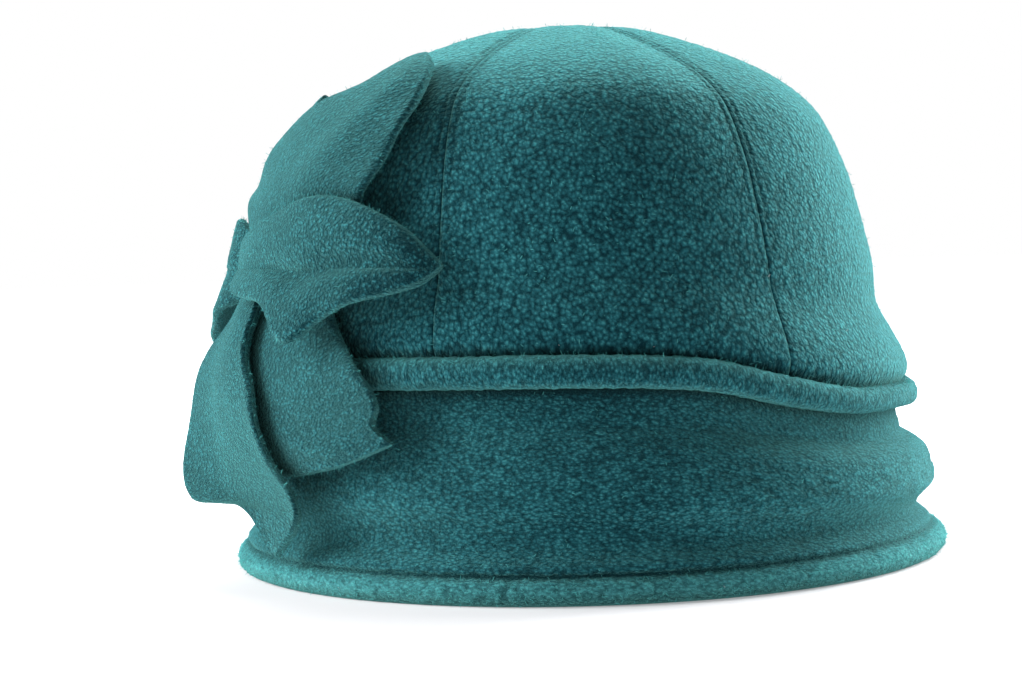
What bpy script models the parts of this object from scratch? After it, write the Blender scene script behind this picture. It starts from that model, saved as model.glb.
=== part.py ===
"""Fleece cloche hat: six crown gores, a rolled welt, a slouched side band with its
turned hem, and a flower of six double-ply petals sewn to one side.

Metres, +Z up. The hat stands on its hem at z = 0, and its front faces -Y. An azimuth is
measured in degrees round the crown from the front towards +X, so -90 is the side with
the flower. The origin lies on the surface, under the middle of the whole hat.
"""

import math

import bmesh
import bpy
from mathutils import Vector

# Sizes of the whole hat
CROWN_HALF_WIDTH = 0.0965
PLAN_STRETCH = 1.07
HAT_HEIGHT = 0.1585
CROWN_LEAN = 0.0035
FLEECE = 0.0025
SEAM_GAP = 0.0003

# Crown
GORE_NAMES = (
    "gore_front",
    "gore_front_right",
    "gore_back_right",
    "gore_back",
    "gore_back_left",
    "gore_front_left",
)
FIRST_SEAM = -24.5
GORE_COLUMNS = 10
GORE_ROWS = 12
GORE_POINT = 0.997
SEAM_VALLEY = 0.0040
VALLEY_SPREAD = 13.0
VALLEY_RUN = 0.26
SLUMP = 0.0042

# Welt: the roll of cloth round the foot of the crown
WELT_HEIGHT = 0.0088
WELT_DEPTH = 0.0092
WELT_CENTRE = 0.0600
WELT_DIP = 0.0145
WELT_SETBACK = 0.0012
WELT_COLUMNS = 72
WELT_SIDES = 10
WELT_SQUARENESS = 2.6

# Side band and hem
GROOVE_SETBACK = 0.0035
BRIM_FLARE = 0.0092
BAND_FOLD = 0.0062
HEM_DEPTH = 0.0105
HEM_ROUND = 0.0024
BAND_COLUMNS = 72
BAND_DOWNS = (0.0, 0.08, 0.18, 0.28, 0.38, 0.48, 0.57, 0.65, 0.73)

# Flower. Its middle is measured up over the cloth from the hem.
FLOWER_AZIMUTH = -68.0
FLOWER_UP = 0.0860
PETAL_LENGTH = 0.0800
PETAL_THICKNESS = 0.0030
PETAL_CLEARANCE = 0.0006
PETAL_LIFT = 0.0100
PETAL_FOLD = 0.0010
PETAL_EDGE = 0.07
PETAL_ALONG = (0.0, 0.03, 0.12, 0.24, 0.36, 0.48, 0.60, 0.71, 0.81, 0.90, 0.96, 1.0)
PETAL_ACROSS = (-1.0, -0.93, -0.62, -0.30, 0.0, 0.30, 0.62, 0.93, 1.0)

TEAL = (0.028, 0.135, 0.150)

# Dome of the crown, from the welt to the middle of the top.
# along, radius (of CROWN_HALF_WIDTH), height (of the crown's own height)
DOME = (
    (0.00, 0.994, 0.000),
    (0.10, 0.975, 0.110),
    (0.20, 0.940, 0.225),
    (0.30, 0.912, 0.345),
    (0.40, 0.886, 0.460),
    (0.50, 0.850, 0.590),
    (0.60, 0.780, 0.735),
    (0.68, 0.680, 0.822),
    (0.76, 0.548, 0.888),
    (0.84, 0.395, 0.943),
    (0.92, 0.230, 0.985),
    (1.00, 0.000, 1.000),
)
# How far each gore seam draws the dome in, and where along the dome it is deepest.
# azimuth, depth (of SEAM_VALLEY), deepest along the dome
SEAM_VALLEYS = (
    (-24.5, 0.22, 0.70),
    (35.5, 0.30, 0.74),
    (95.5, 0.80, 0.80),
    (155.5, 0.55, 0.76),
    (215.5, 0.45, 0.74),
    (275.5, 0.60, 0.76),
)
# How the welt dips and the cloth slouches, going round the hat.
# azimuth, dip (of WELT_DIP), fold (of BAND_FOLD), slump (of SLUMP), roll (of WELT_HEIGHT)
ROUND_THE_HAT = (
    (0.0, 0.00, 0.35, 0.10, 1.00),
    (20.0, 0.16, 0.45, 0.25, 1.00),
    (34.0, 0.54, 0.60, 0.45, 0.94),
    (50.0, 0.86, 0.76, 0.68, 0.84),
    (66.0, 0.92, 0.86, 0.88, 0.80),
    (85.0, 0.98, 0.92, 1.00, 0.82),
    (130.0, 0.72, 0.85, 0.60, 0.92),
    (180.0, 0.42, 0.70, 0.45, 1.00),
    (235.0, 0.30, 0.80, 0.60, 1.00),
    (280.0, 0.06, 0.75, 0.50, 1.00),
    (325.0, 0.00, 0.40, 0.20, 1.00),
)
# Side band, from under the welt to the hem's edge.
# down (of the band's height), out (of the way from groove to brim), fold (of the fold there)
BAND = (
    (0.00, 0.00, 0.00),
    (0.10, 0.04, 0.06),
    (0.25, 0.17, 0.55),
    (0.42, 0.33, 1.00),
    (0.56, 0.47, 0.86),
    (0.70, 0.62, -0.26),
    (0.77, 0.72, -0.55),
    (0.87, 0.86, -0.10),
    (0.96, 0.98, 0.00),
    (1.00, 1.00, 0.00),
)
# The hem's fold in section, as angles below level from its outside to its inside. The cloth
# between the second and the third is pressed flat, because the hat rests there.
HEM_FOLD = (30.0, 60.0, 120.0, 150.0)
# The petals, each from its sewn end to its tip. Seen from outside the hat, the places of its
# left and right edges are measured over the cloth from the flower's middle, across towards
# the front and up, in shares of PETAL_LENGTH. The layer counts the petals that it lies over,
# and the lifts above that layer are shares of PETAL_LIFT. A fold runs from end to tip at its
# place across the petal, and rises by its share of PETAL_FOLD.
# layer, (fold across, fold rise, fold width), then rows of: along, left across, left up,
# right across, right up, left lift, middle lift, right lift
PETALS = {
    "petal_upper": (2, (0.00, 0.0, 1.00), (
        (0.00, -0.07, 0.02, 0.08, 0.00, 0.00, 0.00, 0.00),
        (0.10, -0.13, 0.15, 0.27, 0.11, 0.08, 0.00, 0.00),
        (0.20, -0.27, 0.28, 0.50, 0.20, 0.22, -0.06, -0.10),
        (0.42, -0.27, 0.39, 0.60, 0.33, -0.02, -0.08, -0.04),
        (0.65, 0.04, 0.60, 0.65, 0.49, -0.26, -0.22, -0.14),
        (0.85, 0.31, 0.69, 0.64, 0.66, -0.42, -0.32, -0.36),
        (0.94, 0.37, 0.79, 0.53, 0.80, -0.48, -0.44, -0.48),
        (1.00, 0.37, 0.91, 0.37, 0.91, -0.58, -0.58, -0.58),
    )),
    "petal_front": (3, (0.05, -1.6, 0.34), (
        (0.00, -0.14, 0.13, -0.12, -0.06, 0.00, 0.04, 0.08),
        (0.12, 0.06, 0.19, 0.08, -0.11, -0.01, 0.20, 0.30),
        (0.24, 0.22, 0.24, 0.28, -0.14, -0.03, 0.24, 0.24),
        (0.38, 0.38, 0.28, 0.46, -0.26, -0.06, 0.24, 0.06),
        (0.50, 0.50, 0.28, 0.57, -0.18, -0.08, 0.20, -0.04),
        (0.66, 0.64, 0.24, 0.69, -0.11, -0.16, 0.10, -0.12),
        (0.84, 0.79, 0.16, 0.84, -0.05, -0.38, -0.24, -0.46),
        (1.00, 0.89, 0.06, 0.89, 0.06, -0.86, -0.86, -0.86),
    )),
    "petal_lower_front": (0, (0.00, 0.0, 1.00), (
        (0.00, 0.08, 0.00, 0.02, -0.08, 0.00, 0.00, 0.00),
        (0.12, 0.22, -0.02, -0.06, -0.18, 0.02, 0.26, 0.40),
        (0.28, 0.42, -0.06, -0.03, -0.38, 0.08, 0.28, 0.44),
        (0.50, 0.58, -0.20, 0.08, -0.60, 0.18, 0.26, 0.40),
        (0.70, 0.74, -0.33, 0.34, -0.68, 0.26, 0.18, 0.16),
        (0.82, 0.81, -0.42, 0.58, -0.65, 0.26, 0.12, 0.06),
        (0.91, 0.80, -0.49, 0.72, -0.61, 0.16, 0.08, 0.04),
        (1.00, 0.87, -0.55, 0.87, -0.55, 0.04, 0.04, 0.04),
    )),
    "petal_lower": (2, (-0.45, 1.0, 0.30), (
        (0.00, 0.06, -0.02, -0.08, -0.02, 0.00, 0.00, 0.00),
        (0.08, 0.10, -0.11, -0.12, -0.07, 0.02, 0.00, 0.00),
        (0.20, 0.16, -0.26, -0.19, -0.18, 0.12, 0.08, 0.04),
        (0.40, 0.28, -0.42, -0.29, -0.36, 0.18, 0.14, 0.54),
        (0.60, 0.40, -0.61, -0.22, -0.60, 0.16, -0.04, 0.84),
        (0.76, 0.54, -0.73, 0.00, -0.79, 0.06, -0.14, 0.84),
        (0.88, 0.54, -0.83, 0.28, -0.79, -0.12, -0.12, 0.24),
        (1.00, 0.36, -0.96, 0.36, -0.96, -0.56, -0.56, -0.56),
    )),
    "petal_back": (1, (0.00, 0.0, 1.00), (
        (0.00, 0.00, -0.08, 0.00, 0.07, 0.00, 0.00, 0.00),
        (0.12, -0.13, -0.07, -0.13, 0.13, 0.00, 0.00, 0.00),
        (0.30, -0.28, -0.17, -0.27, 0.22, 0.88, 0.88, 0.84),
        (0.54, -0.42, -0.26, -0.46, 0.16, 0.84, 0.78, 0.62),
        (0.78, -0.56, -0.31, -0.60, -0.04, 0.76, 0.66, 0.50),
        (1.00, -0.68, -0.28, -0.68, -0.28, 0.68, 0.68, 0.68),
    )),
    "petal_upper_back": (0, (0.00, 0.0, 1.00), (
        (0.00, -0.08, 0.00, 0.00, 0.07, 0.00, 0.00, 0.00),
        (0.30, -0.36, 0.22, -0.10, 0.40, 0.00, 0.02, 0.00),
        (0.60, -0.53, 0.42, -0.16, 0.62, 0.02, 0.03, 0.00),
        (0.85, -0.38, 0.58, -0.12, 0.68, 0.02, 0.02, 0.00),
        (1.00, -0.14, 0.73, -0.14, 0.73, 0.02, 0.02, 0.02),
    )),
}


def through(rows, column, at, period=None):
    """Smooth curve through one column of a table, read at a value of its first column."""
    keys = [row[0] for row in rows]
    values = [row[column] for row in rows]
    if period:
        at = (at - keys[0]) % period + keys[0]
        keys = [keys[-1] - period, *keys, keys[0] + period, keys[1] + period]
        values = [values[-1], *values, values[0], values[1]]
    last = len(keys) - 2
    i = min(max(sum(key <= at for key in keys) - 1, 0), last)
    span = keys[i + 1] - keys[i]
    t = min(max((at - keys[i]) / span, 0.0), 1.0)

    def slope(j):
        before, after = max(j - 1, 0), min(j + 1, len(keys) - 1)
        return (values[after] - values[before]) / (keys[after] - keys[before])

    rise, start, end = values[i + 1] - values[i], slope(i) * span, slope(i + 1) * span
    return values[i] + t * (start + t * (3 * rise - 2 * start - end + t * (start + end - 2 * rise)))


def stand(azimuth, radius, height):
    """A point of the hat's side view, swung round to its azimuth."""
    turn = math.radians(azimuth)
    lean = CROWN_LEAN * (height / HAT_HEIGHT) ** 2
    return Vector((radius * math.sin(turn) - lean, -PLAN_STRETCH * radius * math.cos(turn), height))


def round_hat(column, azimuth):
    return through(ROUND_THE_HAT, column, azimuth, period=360.0)


def solid(name, points, faces):
    """A named object from one closed set of faces, turned so that they point outwards."""
    mesh = bpy.data.meshes.new(name)
    mesh.from_pydata([tuple(point) for point in points], [], faces)
    made = bmesh.new()
    made.from_mesh(mesh)
    bmesh.ops.remove_doubles(made, verts=made.verts, dist=1e-6)
    bmesh.ops.recalc_face_normals(made, faces=made.faces)
    made.to_mesh(mesh)
    made.free()
    mesh.shade_smooth()
    mesh.set_sharp_from_angle(angle=math.radians(50))
    mesh.materials.append(fleece())
    piece = bpy.data.objects.new(name, mesh)
    bpy.context.scene.collection.objects.link(piece)
    return piece


def fleece():
    """The one cloth of the hat."""
    cloth = bpy.data.materials.get("teal_fleece")
    if cloth:
        return cloth
    cloth = bpy.data.materials.new("teal_fleece")
    cloth.use_nodes = True
    shader = cloth.node_tree.nodes["Principled BSDF"]
    shader.inputs["Base Color"].default_value = (*TEAL, 1.0)
    shader.inputs["Roughness"].default_value = 0.95
    shader.inputs["Metallic"].default_value = 0.0
    return cloth


def slab(name, outer, inner):
    """A closed wall between two grids of points of the same size."""
    rows, columns = len(outer), len(outer[0])
    points = [point for grid in (outer, inner) for row in grid for point in row]

    def at(side, i, j):
        return side * rows * columns + i * columns + j

    faces = []
    for i in range(rows - 1):
        for j in range(columns - 1):
            quad = ((i, j), (i, j + 1), (i + 1, j + 1), (i + 1, j))
            faces.append([at(0, *corner) for corner in quad])
            faces.append([at(1, *corner) for corner in reversed(quad)])
    rim = [(0, j) for j in range(columns)]
    rim += [(i, columns - 1) for i in range(1, rows)]
    rim += [(rows - 1, j) for j in range(columns - 2, -1, -1)]
    rim += [(i, 0) for i in range(rows - 2, 0, -1)]
    for here, there in zip(rim, rim[1:] + rim[:1]):
        faces.append([at(0, *there), at(0, *here), at(1, *here), at(1, *there)])
    return solid(name, points, faces)


def ring(name, loops):
    """A closed ring from the loops of its cross-section, one loop for each azimuth."""
    count, sides = len(loops), len(loops[0])
    points = [point for loop in loops for point in loop]
    faces = []
    for i in range(count):
        for j in range(sides):
            here, there = i * sides, (i + 1) % count * sides
            beside = (j + 1) % sides
            faces.append([here + j, there + j, there + beside, here + beside])
    return solid(name, points, faces)


def welt_centre(azimuth):
    return WELT_CENTRE - WELT_DIP * round_hat(1, azimuth)


def welt_height(azimuth):
    return WELT_HEIGHT * round_hat(4, azimuth)


def welt_radius():
    return CROWN_HALF_WIDTH - WELT_SETBACK


def rounded_oblong(angle, half_width, half_height):
    """A point of a soft-cornered oblong, seen from its centre."""
    power = 2 / WELT_SQUARENESS
    c, s = math.cos(angle), math.sin(angle)
    across = math.copysign(abs(c) ** power, c)
    upright = math.copysign(abs(s) ** power, s)
    return half_width * across, half_height * upright


def welt():
    loops = []
    for i in range(WELT_COLUMNS):
        azimuth = 360.0 * i / WELT_COLUMNS
        loop = []
        for j in range(WELT_SIDES):
            angle = math.tau * (j + 0.5) / WELT_SIDES
            across, upright = rounded_oblong(angle, WELT_DEPTH / 2, welt_height(azimuth) / 2)
            loop.append(stand(azimuth, welt_radius() + across, welt_centre(azimuth) + upright))
        loops.append(loop)
    return ring("rolled_welt", loops)


def valley(azimuth, along):
    """How far the cloth is drawn in by the gore seams at this place on the dome."""
    depth = 0.0
    for seam, share, deepest in SEAM_VALLEYS:
        away = (azimuth - seam + 180.0) % 360.0 - 180.0
        across = math.exp(-((away / VALLEY_SPREAD) ** 2))
        lengthways = math.exp(-(((along - deepest) / VALLEY_RUN) ** 2)) * min(1.0, (1.0 - along) / 0.12)
        depth += SEAM_VALLEY * share * across * lengthways
    return depth


def dome_section(azimuth, along):
    """Radius and height of the crown's outside, before the seams draw it in."""
    foot = welt_centre(azimuth) + welt_height(azimuth) / 2 + SEAM_GAP
    radius = CROWN_HALF_WIDTH * through(DOME, 1, along)
    height = foot + (HAT_HEIGHT - foot) * through(DOME, 2, along)
    bulge = math.exp(-(((along - 0.045) / 0.05) ** 2))
    crease = math.exp(-(((along - 0.19) / 0.06) ** 2))
    return radius + SLUMP * round_hat(3, azimuth) * (0.45 * bulge - 0.5 * crease), height


def inwards(section, azimuth, along, depth):
    """A point of a section, moved inwards along the section's own normal."""
    step = 0.01
    before = section(azimuth, max(along - step, 0.0))
    after = section(azimuth, min(along + step, 1.0))
    run = math.hypot(after[0] - before[0], after[1] - before[1])
    radius, height = section(azimuth, along)
    outward = (after[1] - before[1]) / run
    upward = (before[0] - after[0]) / run
    return radius - outward * depth, height - upward * depth


def crown_section(azimuth, along, depth):
    """Radius and height of the crown's cloth, at a depth into its wall."""
    return inwards(dome_section, azimuth, along, depth + valley(azimuth, along))


def gore(name, first_seam):
    """One of the crown's panels, from one seam to the next."""
    span = 360.0 / len(GORE_NAMES)
    grids = []
    for depth in (0.0, FLEECE):
        grid = []
        for i in range(GORE_ROWS + 1):
            along = GORE_POINT * i / GORE_ROWS
            row = []
            for j in range(GORE_COLUMNS + 1):
                azimuth = first_seam + span * j / GORE_COLUMNS
                radius, height = crown_section(azimuth, along, depth)
                seam_room = math.degrees(SEAM_GAP / 2 / radius)
                share = 1.0 - 2.0 * j / GORE_COLUMNS
                row.append(stand(azimuth + seam_room * share, radius, height))
            grid.append(row)
        grids.append(grid)
    return slab(name, *grids)


def band_top(azimuth):
    """The band is sewn under the welt, where the roll's underside comes down to it."""
    inset = (welt_radius() - CROWN_HALF_WIDTH + GROOVE_SETBACK) / (WELT_DEPTH / 2)
    drop = (1.0 - inset**WELT_SQUARENESS) ** (1.0 / WELT_SQUARENESS)
    return welt_centre(azimuth) - drop * welt_height(azimuth) / 2 - SEAM_GAP


def band_section(azimuth, down):
    """Radius and height of the band's outside, from under the welt to the hem's edge."""
    groove = CROWN_HALF_WIDTH - GROOVE_SETBACK
    brim = CROWN_HALF_WIDTH + BRIM_FLARE
    fold = BAND_FOLD * round_hat(2, azimuth)
    radius = groove + (brim - groove) * through(BAND, 1, down) + fold * through(BAND, 2, down)
    return radius, band_top(azimuth) + (HEM_ROUND - band_top(azimuth)) * down


def band_loop(azimuth):
    """The band's cut: down the outside, round the folded hem and back up the inside."""
    hem_start = 1.0 - HEM_DEPTH / band_top(azimuth)
    downs = (*BAND_DOWNS, hem_start, (1.0 + hem_start) / 2, 1.0)
    outside = [band_section(azimuth, down) for down in downs]
    edge_radius, edge_height = outside[-1]
    fold = []
    for angle in HEM_FOLD:
        turn = math.radians(angle)
        drop = edge_height * math.sin(turn) / math.sin(math.radians(HEM_FOLD[1]))
        fold.append((edge_radius - FLEECE + FLEECE * math.cos(turn), edge_height - drop))
    turned_up = [(radius - 2 * FLEECE, height) for radius, height in outside[:-4:-1]]
    inside = [(radius - FLEECE, height) for radius, height in outside[-3::-1]]
    return [stand(azimuth, radius, height) for radius, height in outside + fold + turned_up + inside]


def side_band():
    loops = [band_loop(360.0 * i / BAND_COLUMNS) for i in range(BAND_COLUMNS)]
    return ring("side_band", loops)


def bed_outline():
    """What the petals lie on, like a sheet drawn over the band, the welt and the crown, in
    rows of how far up over the cloth, radius and height."""
    brim = CROWN_HALF_WIDTH + BRIM_FLARE + SEAM_GAP
    welt_out = welt_radius() + WELT_DEPTH / 2 + SEAM_GAP
    outline = [(brim, 0.0), (brim, HEM_DEPTH), (welt_out, welt_centre(FLOWER_AZIMUTH))]
    for step in range(3, 26):
        outline.append(inwards(dome_section, FLOWER_AZIMUTH, step / 25, -SEAM_GAP))
    rows, up = [], 0.0
    for i, (radius, height) in enumerate(outline):
        if i:
            up += math.hypot(radius - outline[i - 1][0], height - outline[i - 1][1])
        rows.append((up, radius, height))
    return rows


BED = bed_outline()


def over_the_bed(across, up, lift):
    """A point above the hat, placed over the cloth from the flower's middle."""
    step = 0.001
    climb = FLOWER_UP + up
    radius, height = through(BED, 1, climb), through(BED, 2, climb)
    run = through(BED, 1, climb + step) - through(BED, 1, climb - step)
    rise = through(BED, 2, climb + step) - through(BED, 2, climb - step)
    azimuth = FLOWER_AZIMUTH + math.degrees(across / radius)
    length = math.hypot(run, rise)
    return stand(azimuth, radius + lift * rise / length, height - lift * run / length)


def edge_round(along, across):
    """How much of its thickness a petal has here: none at its very edge."""
    inside = min(1.0 - abs(across), along * 2.0, (1.0 - along) * 2.0) / PETAL_EDGE
    return math.sqrt(1.0 - (1.0 - min(inside, 1.0)) ** 2)


def petal_point(layer, fold, rows, along, across, depth):
    """A point of a petal at a depth through its cloth, from -1 below to 1 on top."""
    share = (across + 1.0) / 2.0
    left_x, left_y, right_x, right_y, left, middle, right = (
        through(rows, column, along) for column in range(1, 8)
    )
    bow = middle - (left + right) / 2.0
    lift = left + (right - left) * share + bow * (1.0 - across**2)
    seat = PETAL_THICKNESS / 2 + layer * (PETAL_THICKNESS + PETAL_CLEARANCE)
    fold_across, fold_rise, fold_width = fold
    crease = fold_rise * math.exp(-(((across - fold_across) / fold_width) ** 2)) * math.sin(math.pi * along)
    thickness = depth * PETAL_THICKNESS / 2 * edge_round(along, across)
    return over_the_bed(
        PETAL_LENGTH * (left_x + (right_x - left_x) * share),
        PETAL_LENGTH * (left_y + (right_y - left_y) * share),
        seat + PETAL_LIFT * lift + crease * PETAL_FOLD + thickness,
    )


def petal(name):
    """Two plies sewn and turned, so that the edge is round."""
    layer, fold, rows = PETALS[name]
    columns = len(PETAL_ACROSS)
    points = []
    for depth in (1.0, -1.0):
        for along in PETAL_ALONG:
            points += [petal_point(layer, fold, rows, along, across, depth) for across in PETAL_ACROSS]
    below = len(PETAL_ALONG) * columns
    faces = []
    for i in range(len(PETAL_ALONG) - 1):
        for j in range(columns - 1):
            here = i * columns + j
            quad = [here, here + 1, here + columns + 1, here + columns]
            faces.append(quad)
            faces.append([below + corner for corner in reversed(quad)])
    return solid(name, points, faces)


def clear_scene():
    for old in list(bpy.data.objects):
        bpy.data.objects.remove(old)


def centre_on_origin(pieces):
    """Slides the whole hat sideways until its middle is over the origin."""
    for axis in (0, 1):
        places = [vertex.co[axis] for piece in pieces for vertex in piece.data.vertices]
        for piece in pieces:
            piece.location[axis] -= (min(places) + max(places)) / 2


def main():
    clear_scene()
    span = 360.0 / len(GORE_NAMES)
    pieces = [gore(name, FIRST_SEAM + k * span) for k, name in enumerate(GORE_NAMES)]
    pieces += [welt(), side_band()]
    pieces += [petal(name) for name in PETALS]
    centre_on_origin(pieces)


main()
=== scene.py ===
# %% [markdown]
# # A fleece cloche hat with a cloth flower
#
# The hat is cut from brushed fleece and sewn: six gores make the crown, a rolled welt runs
# round its foot, and a slouched side band ends in a turned hem. Six double-ply petals are sewn
# to one side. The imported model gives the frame, so this script only makes the looks: cloth with
# its pile, its seams and stitches, and the light that it stands in.

# %% The frame
import math

import bmesh
import bpy
import numpy as np
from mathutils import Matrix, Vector


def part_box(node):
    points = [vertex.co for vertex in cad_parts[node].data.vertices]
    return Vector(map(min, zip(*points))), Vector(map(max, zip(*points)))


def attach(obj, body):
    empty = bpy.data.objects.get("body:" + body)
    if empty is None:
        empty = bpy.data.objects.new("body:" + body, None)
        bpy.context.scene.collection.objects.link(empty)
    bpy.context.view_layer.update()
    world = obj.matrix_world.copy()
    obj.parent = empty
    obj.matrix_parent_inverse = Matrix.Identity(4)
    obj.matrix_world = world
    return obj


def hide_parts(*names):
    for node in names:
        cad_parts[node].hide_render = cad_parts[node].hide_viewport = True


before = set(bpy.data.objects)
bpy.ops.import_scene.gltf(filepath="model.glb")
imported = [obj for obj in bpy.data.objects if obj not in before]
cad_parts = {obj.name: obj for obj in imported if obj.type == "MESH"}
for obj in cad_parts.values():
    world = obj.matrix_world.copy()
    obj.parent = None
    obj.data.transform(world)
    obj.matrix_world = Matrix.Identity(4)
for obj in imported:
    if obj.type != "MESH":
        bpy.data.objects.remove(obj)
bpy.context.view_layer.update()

MM = 0.001

# %% [markdown]
# ## The hat's own sizes
#
# A sewn hat is easiest to describe as its maker would: a half width, a height, the cloth's
# thickness, and a few side views that are swung round the head. The tables below are the same
# ones that the solids were made from. They are read with a smooth curve, so the fine cloth can
# ask for as many points as it needs.

# %% Sizes of the hat
# Lengths are in metres. Azimuths are in degrees, from the hat's front round towards +X.
CROWN_HALF_WIDTH = 96.5 * MM
PLAN_STRETCH = 1.07
HAT_HEIGHT = 158.5 * MM
CROWN_LEAN = 3.5 * MM
FLEECE = 2.5 * MM
SEAM_GAP = 0.3 * MM

GORE_NAMES = (
    "gore_front",
    "gore_front_right",
    "gore_back_right",
    "gore_back",
    "gore_back_left",
    "gore_front_left",
)
FIRST_SEAM = -24.5
GORE_SPAN = 360.0 / len(GORE_NAMES)
GORE_POINT = 0.997
SEAM_VALLEY = 4.0 * MM
VALLEY_SPREAD = 13.0
VALLEY_RUN = 0.26
VALLEY_TOP = 0.12
SLUMP = 4.2 * MM

WELT_HEIGHT = 8.8 * MM
WELT_DEPTH = 9.2 * MM
WELT_CENTRE = 60.0 * MM
WELT_DIP = 14.5 * MM
WELT_SETBACK = 1.2 * MM
WELT_SQUARENESS = 2.6

GROOVE_SETBACK = 3.5 * MM
BRIM_FLARE = 9.2 * MM
BAND_FOLD = 6.2 * MM
HEM_DEPTH = 10.5 * MM
HEM_ROUND = 2.4 * MM

FLOWER_AZIMUTH = -68.0
FLOWER_UP = 86.0 * MM
PETAL_LENGTH = 80.0 * MM
PETAL_THICKNESS = 3.0 * MM
PETAL_CLEARANCE = 0.6 * MM
PETAL_LIFT = 10.0 * MM
PETAL_FOLD = 1.0 * MM
PETAL_EDGE = 0.07

# The solids were slid sideways to put the whole hat's middle over the origin. The band is
# round about the hat's own axis, so the middle of its box says where that axis went.
band_low, band_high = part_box("side_band")
AXIS = Vector(((band_low.x + band_high.x) / 2, (band_low.y + band_high.y) / 2, 0.0))
print("the hat's axis stands at", [round(v / MM, 2) for v in AXIS], "mm")

# %% Side views and the way round the hat
# along, radius (of CROWN_HALF_WIDTH), height (of the crown's own height)
DOME = (
    (0.00, 0.994, 0.000),
    (0.10, 0.975, 0.110),
    (0.20, 0.940, 0.225),
    (0.30, 0.912, 0.345),
    (0.40, 0.886, 0.460),
    (0.50, 0.850, 0.590),
    (0.60, 0.780, 0.735),
    (0.68, 0.680, 0.822),
    (0.76, 0.548, 0.888),
    (0.84, 0.395, 0.943),
    (0.92, 0.230, 0.985),
    (1.00, 0.000, 1.000),
)
# azimuth of a gore seam, depth (of SEAM_VALLEY), deepest along the dome
SEAM_VALLEYS = (
    (-24.5, 0.22, 0.70),
    (35.5, 0.30, 0.74),
    (95.5, 0.80, 0.80),
    (155.5, 0.55, 0.76),
    (215.5, 0.45, 0.74),
    (275.5, 0.60, 0.76),
)
# azimuth, dip (of WELT_DIP), fold (of BAND_FOLD), slump (of SLUMP), roll (of WELT_HEIGHT)
ROUND_THE_HAT = (
    (0.0, 0.00, 0.35, 0.10, 1.00),
    (20.0, 0.16, 0.45, 0.25, 1.00),
    (34.0, 0.54, 0.60, 0.45, 0.94),
    (50.0, 0.86, 0.76, 0.68, 0.84),
    (66.0, 0.92, 0.86, 0.88, 0.80),
    (85.0, 0.98, 0.92, 1.00, 0.82),
    (130.0, 0.72, 0.85, 0.60, 0.92),
    (180.0, 0.42, 0.70, 0.45, 1.00),
    (235.0, 0.30, 0.80, 0.60, 1.00),
    (280.0, 0.06, 0.75, 0.50, 1.00),
    (325.0, 0.00, 0.40, 0.20, 1.00),
)
# down (of the band's height), out (of the way from groove to brim), fold (of the fold there)
BAND = (
    (0.00, 0.00, 0.00),
    (0.10, 0.04, 0.06),
    (0.25, 0.17, 0.55),
    (0.42, 0.33, 1.00),
    (0.56, 0.47, 0.86),
    (0.70, 0.62, -0.26),
    (0.77, 0.72, -0.55),
    (0.87, 0.86, -0.10),
    (0.96, 0.98, 0.00),
    (1.00, 1.00, 0.00),
)

# %% Reading a table as a smooth curve


def through(rows, column, at, period=None):
    """Smooth curve through one column of a table, read at values of its first column."""
    table = np.array(rows)
    keys, values = table[:, 0], table[:, column]
    at = np.asarray(at, dtype=float)
    if period:
        at = (at - keys[0]) % period + keys[0]
        keys = np.concatenate([keys[-1:] - period, keys, keys[:2] + period])
        values = np.concatenate([values[-1:], values, values[:2]])
    last = len(keys) - 1
    before, after = np.maximum(np.arange(last + 1) - 1, 0), np.minimum(np.arange(last + 1) + 1, last)
    slopes = (values[after] - values[before]) / (keys[after] - keys[before])
    i = np.clip(np.searchsorted(keys, at, side="right") - 1, 0, last - 1)
    span = keys[i + 1] - keys[i]
    t = np.clip((at - keys[i]) / span, 0.0, 1.0)
    rise, start, end = values[i + 1] - values[i], slopes[i] * span, slopes[i + 1] * span
    return values[i] + t * (start + t * (3 * rise - 2 * start - end + t * (start + end - 2 * rise)))


def round_hat(column, azimuth):
    """One column of ROUND_THE_HAT at any azimuth."""
    return through(ROUND_THE_HAT, column, azimuth, period=360.0)


def stand(azimuth, radius, height):
    """Points of the hat's side view, swung round to their azimuth and put in the frame."""
    turn = np.radians(azimuth)
    lean = CROWN_LEAN * (height / HAT_HEIGHT) ** 2
    x = AXIS.x + radius * np.sin(turn) - lean
    y = AXIS.y - PLAN_STRETCH * radius * np.cos(turn)
    return np.stack(np.broadcast_arrays(x, y, height), axis=-1)


def bell(at, middle, width):
    """A soft hump, 1 in its middle, that dies out a few widths away."""
    return np.exp(-(((at - middle) / width) ** 2))


def humps(rows, at):
    """The sum of soft humps. A row gives the middle, width and rise of one."""
    return sum(rise * bell(at, middle, width) for middle, width, rise in rows)


def beneath(height, line, softness):
    """1 beneath a line round the hat and 0 above it, with a soft step between."""
    return 1.0 / (1.0 + np.exp((height - line) / softness))


# %% [markdown]
# ## Cloth as a grid of points
#
# Each piece is a closed skin of cloth: rows of points that each run once round the piece's
# cut. Every point also keeps where it lies on the flat cloth, in metres, because the pile
# grew on the flat cloth and has to follow it over every fold. Some shares go with it: how much
# pile stands up there, how much painted rim light its edges take, how thick stray fibres stand,
# how much the cloth wrinkles, and how much painted shade darkens a seam, a row of stitches or
# the band under the welt.

# %% From grids to meshes


def into_scene(name, data):
    """A new object for a mesh, a lamp or a lens, linked into the scene."""
    made = bpy.data.objects.new(name, data)
    bpy.context.scene.collection.objects.link(made)
    return made


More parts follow.
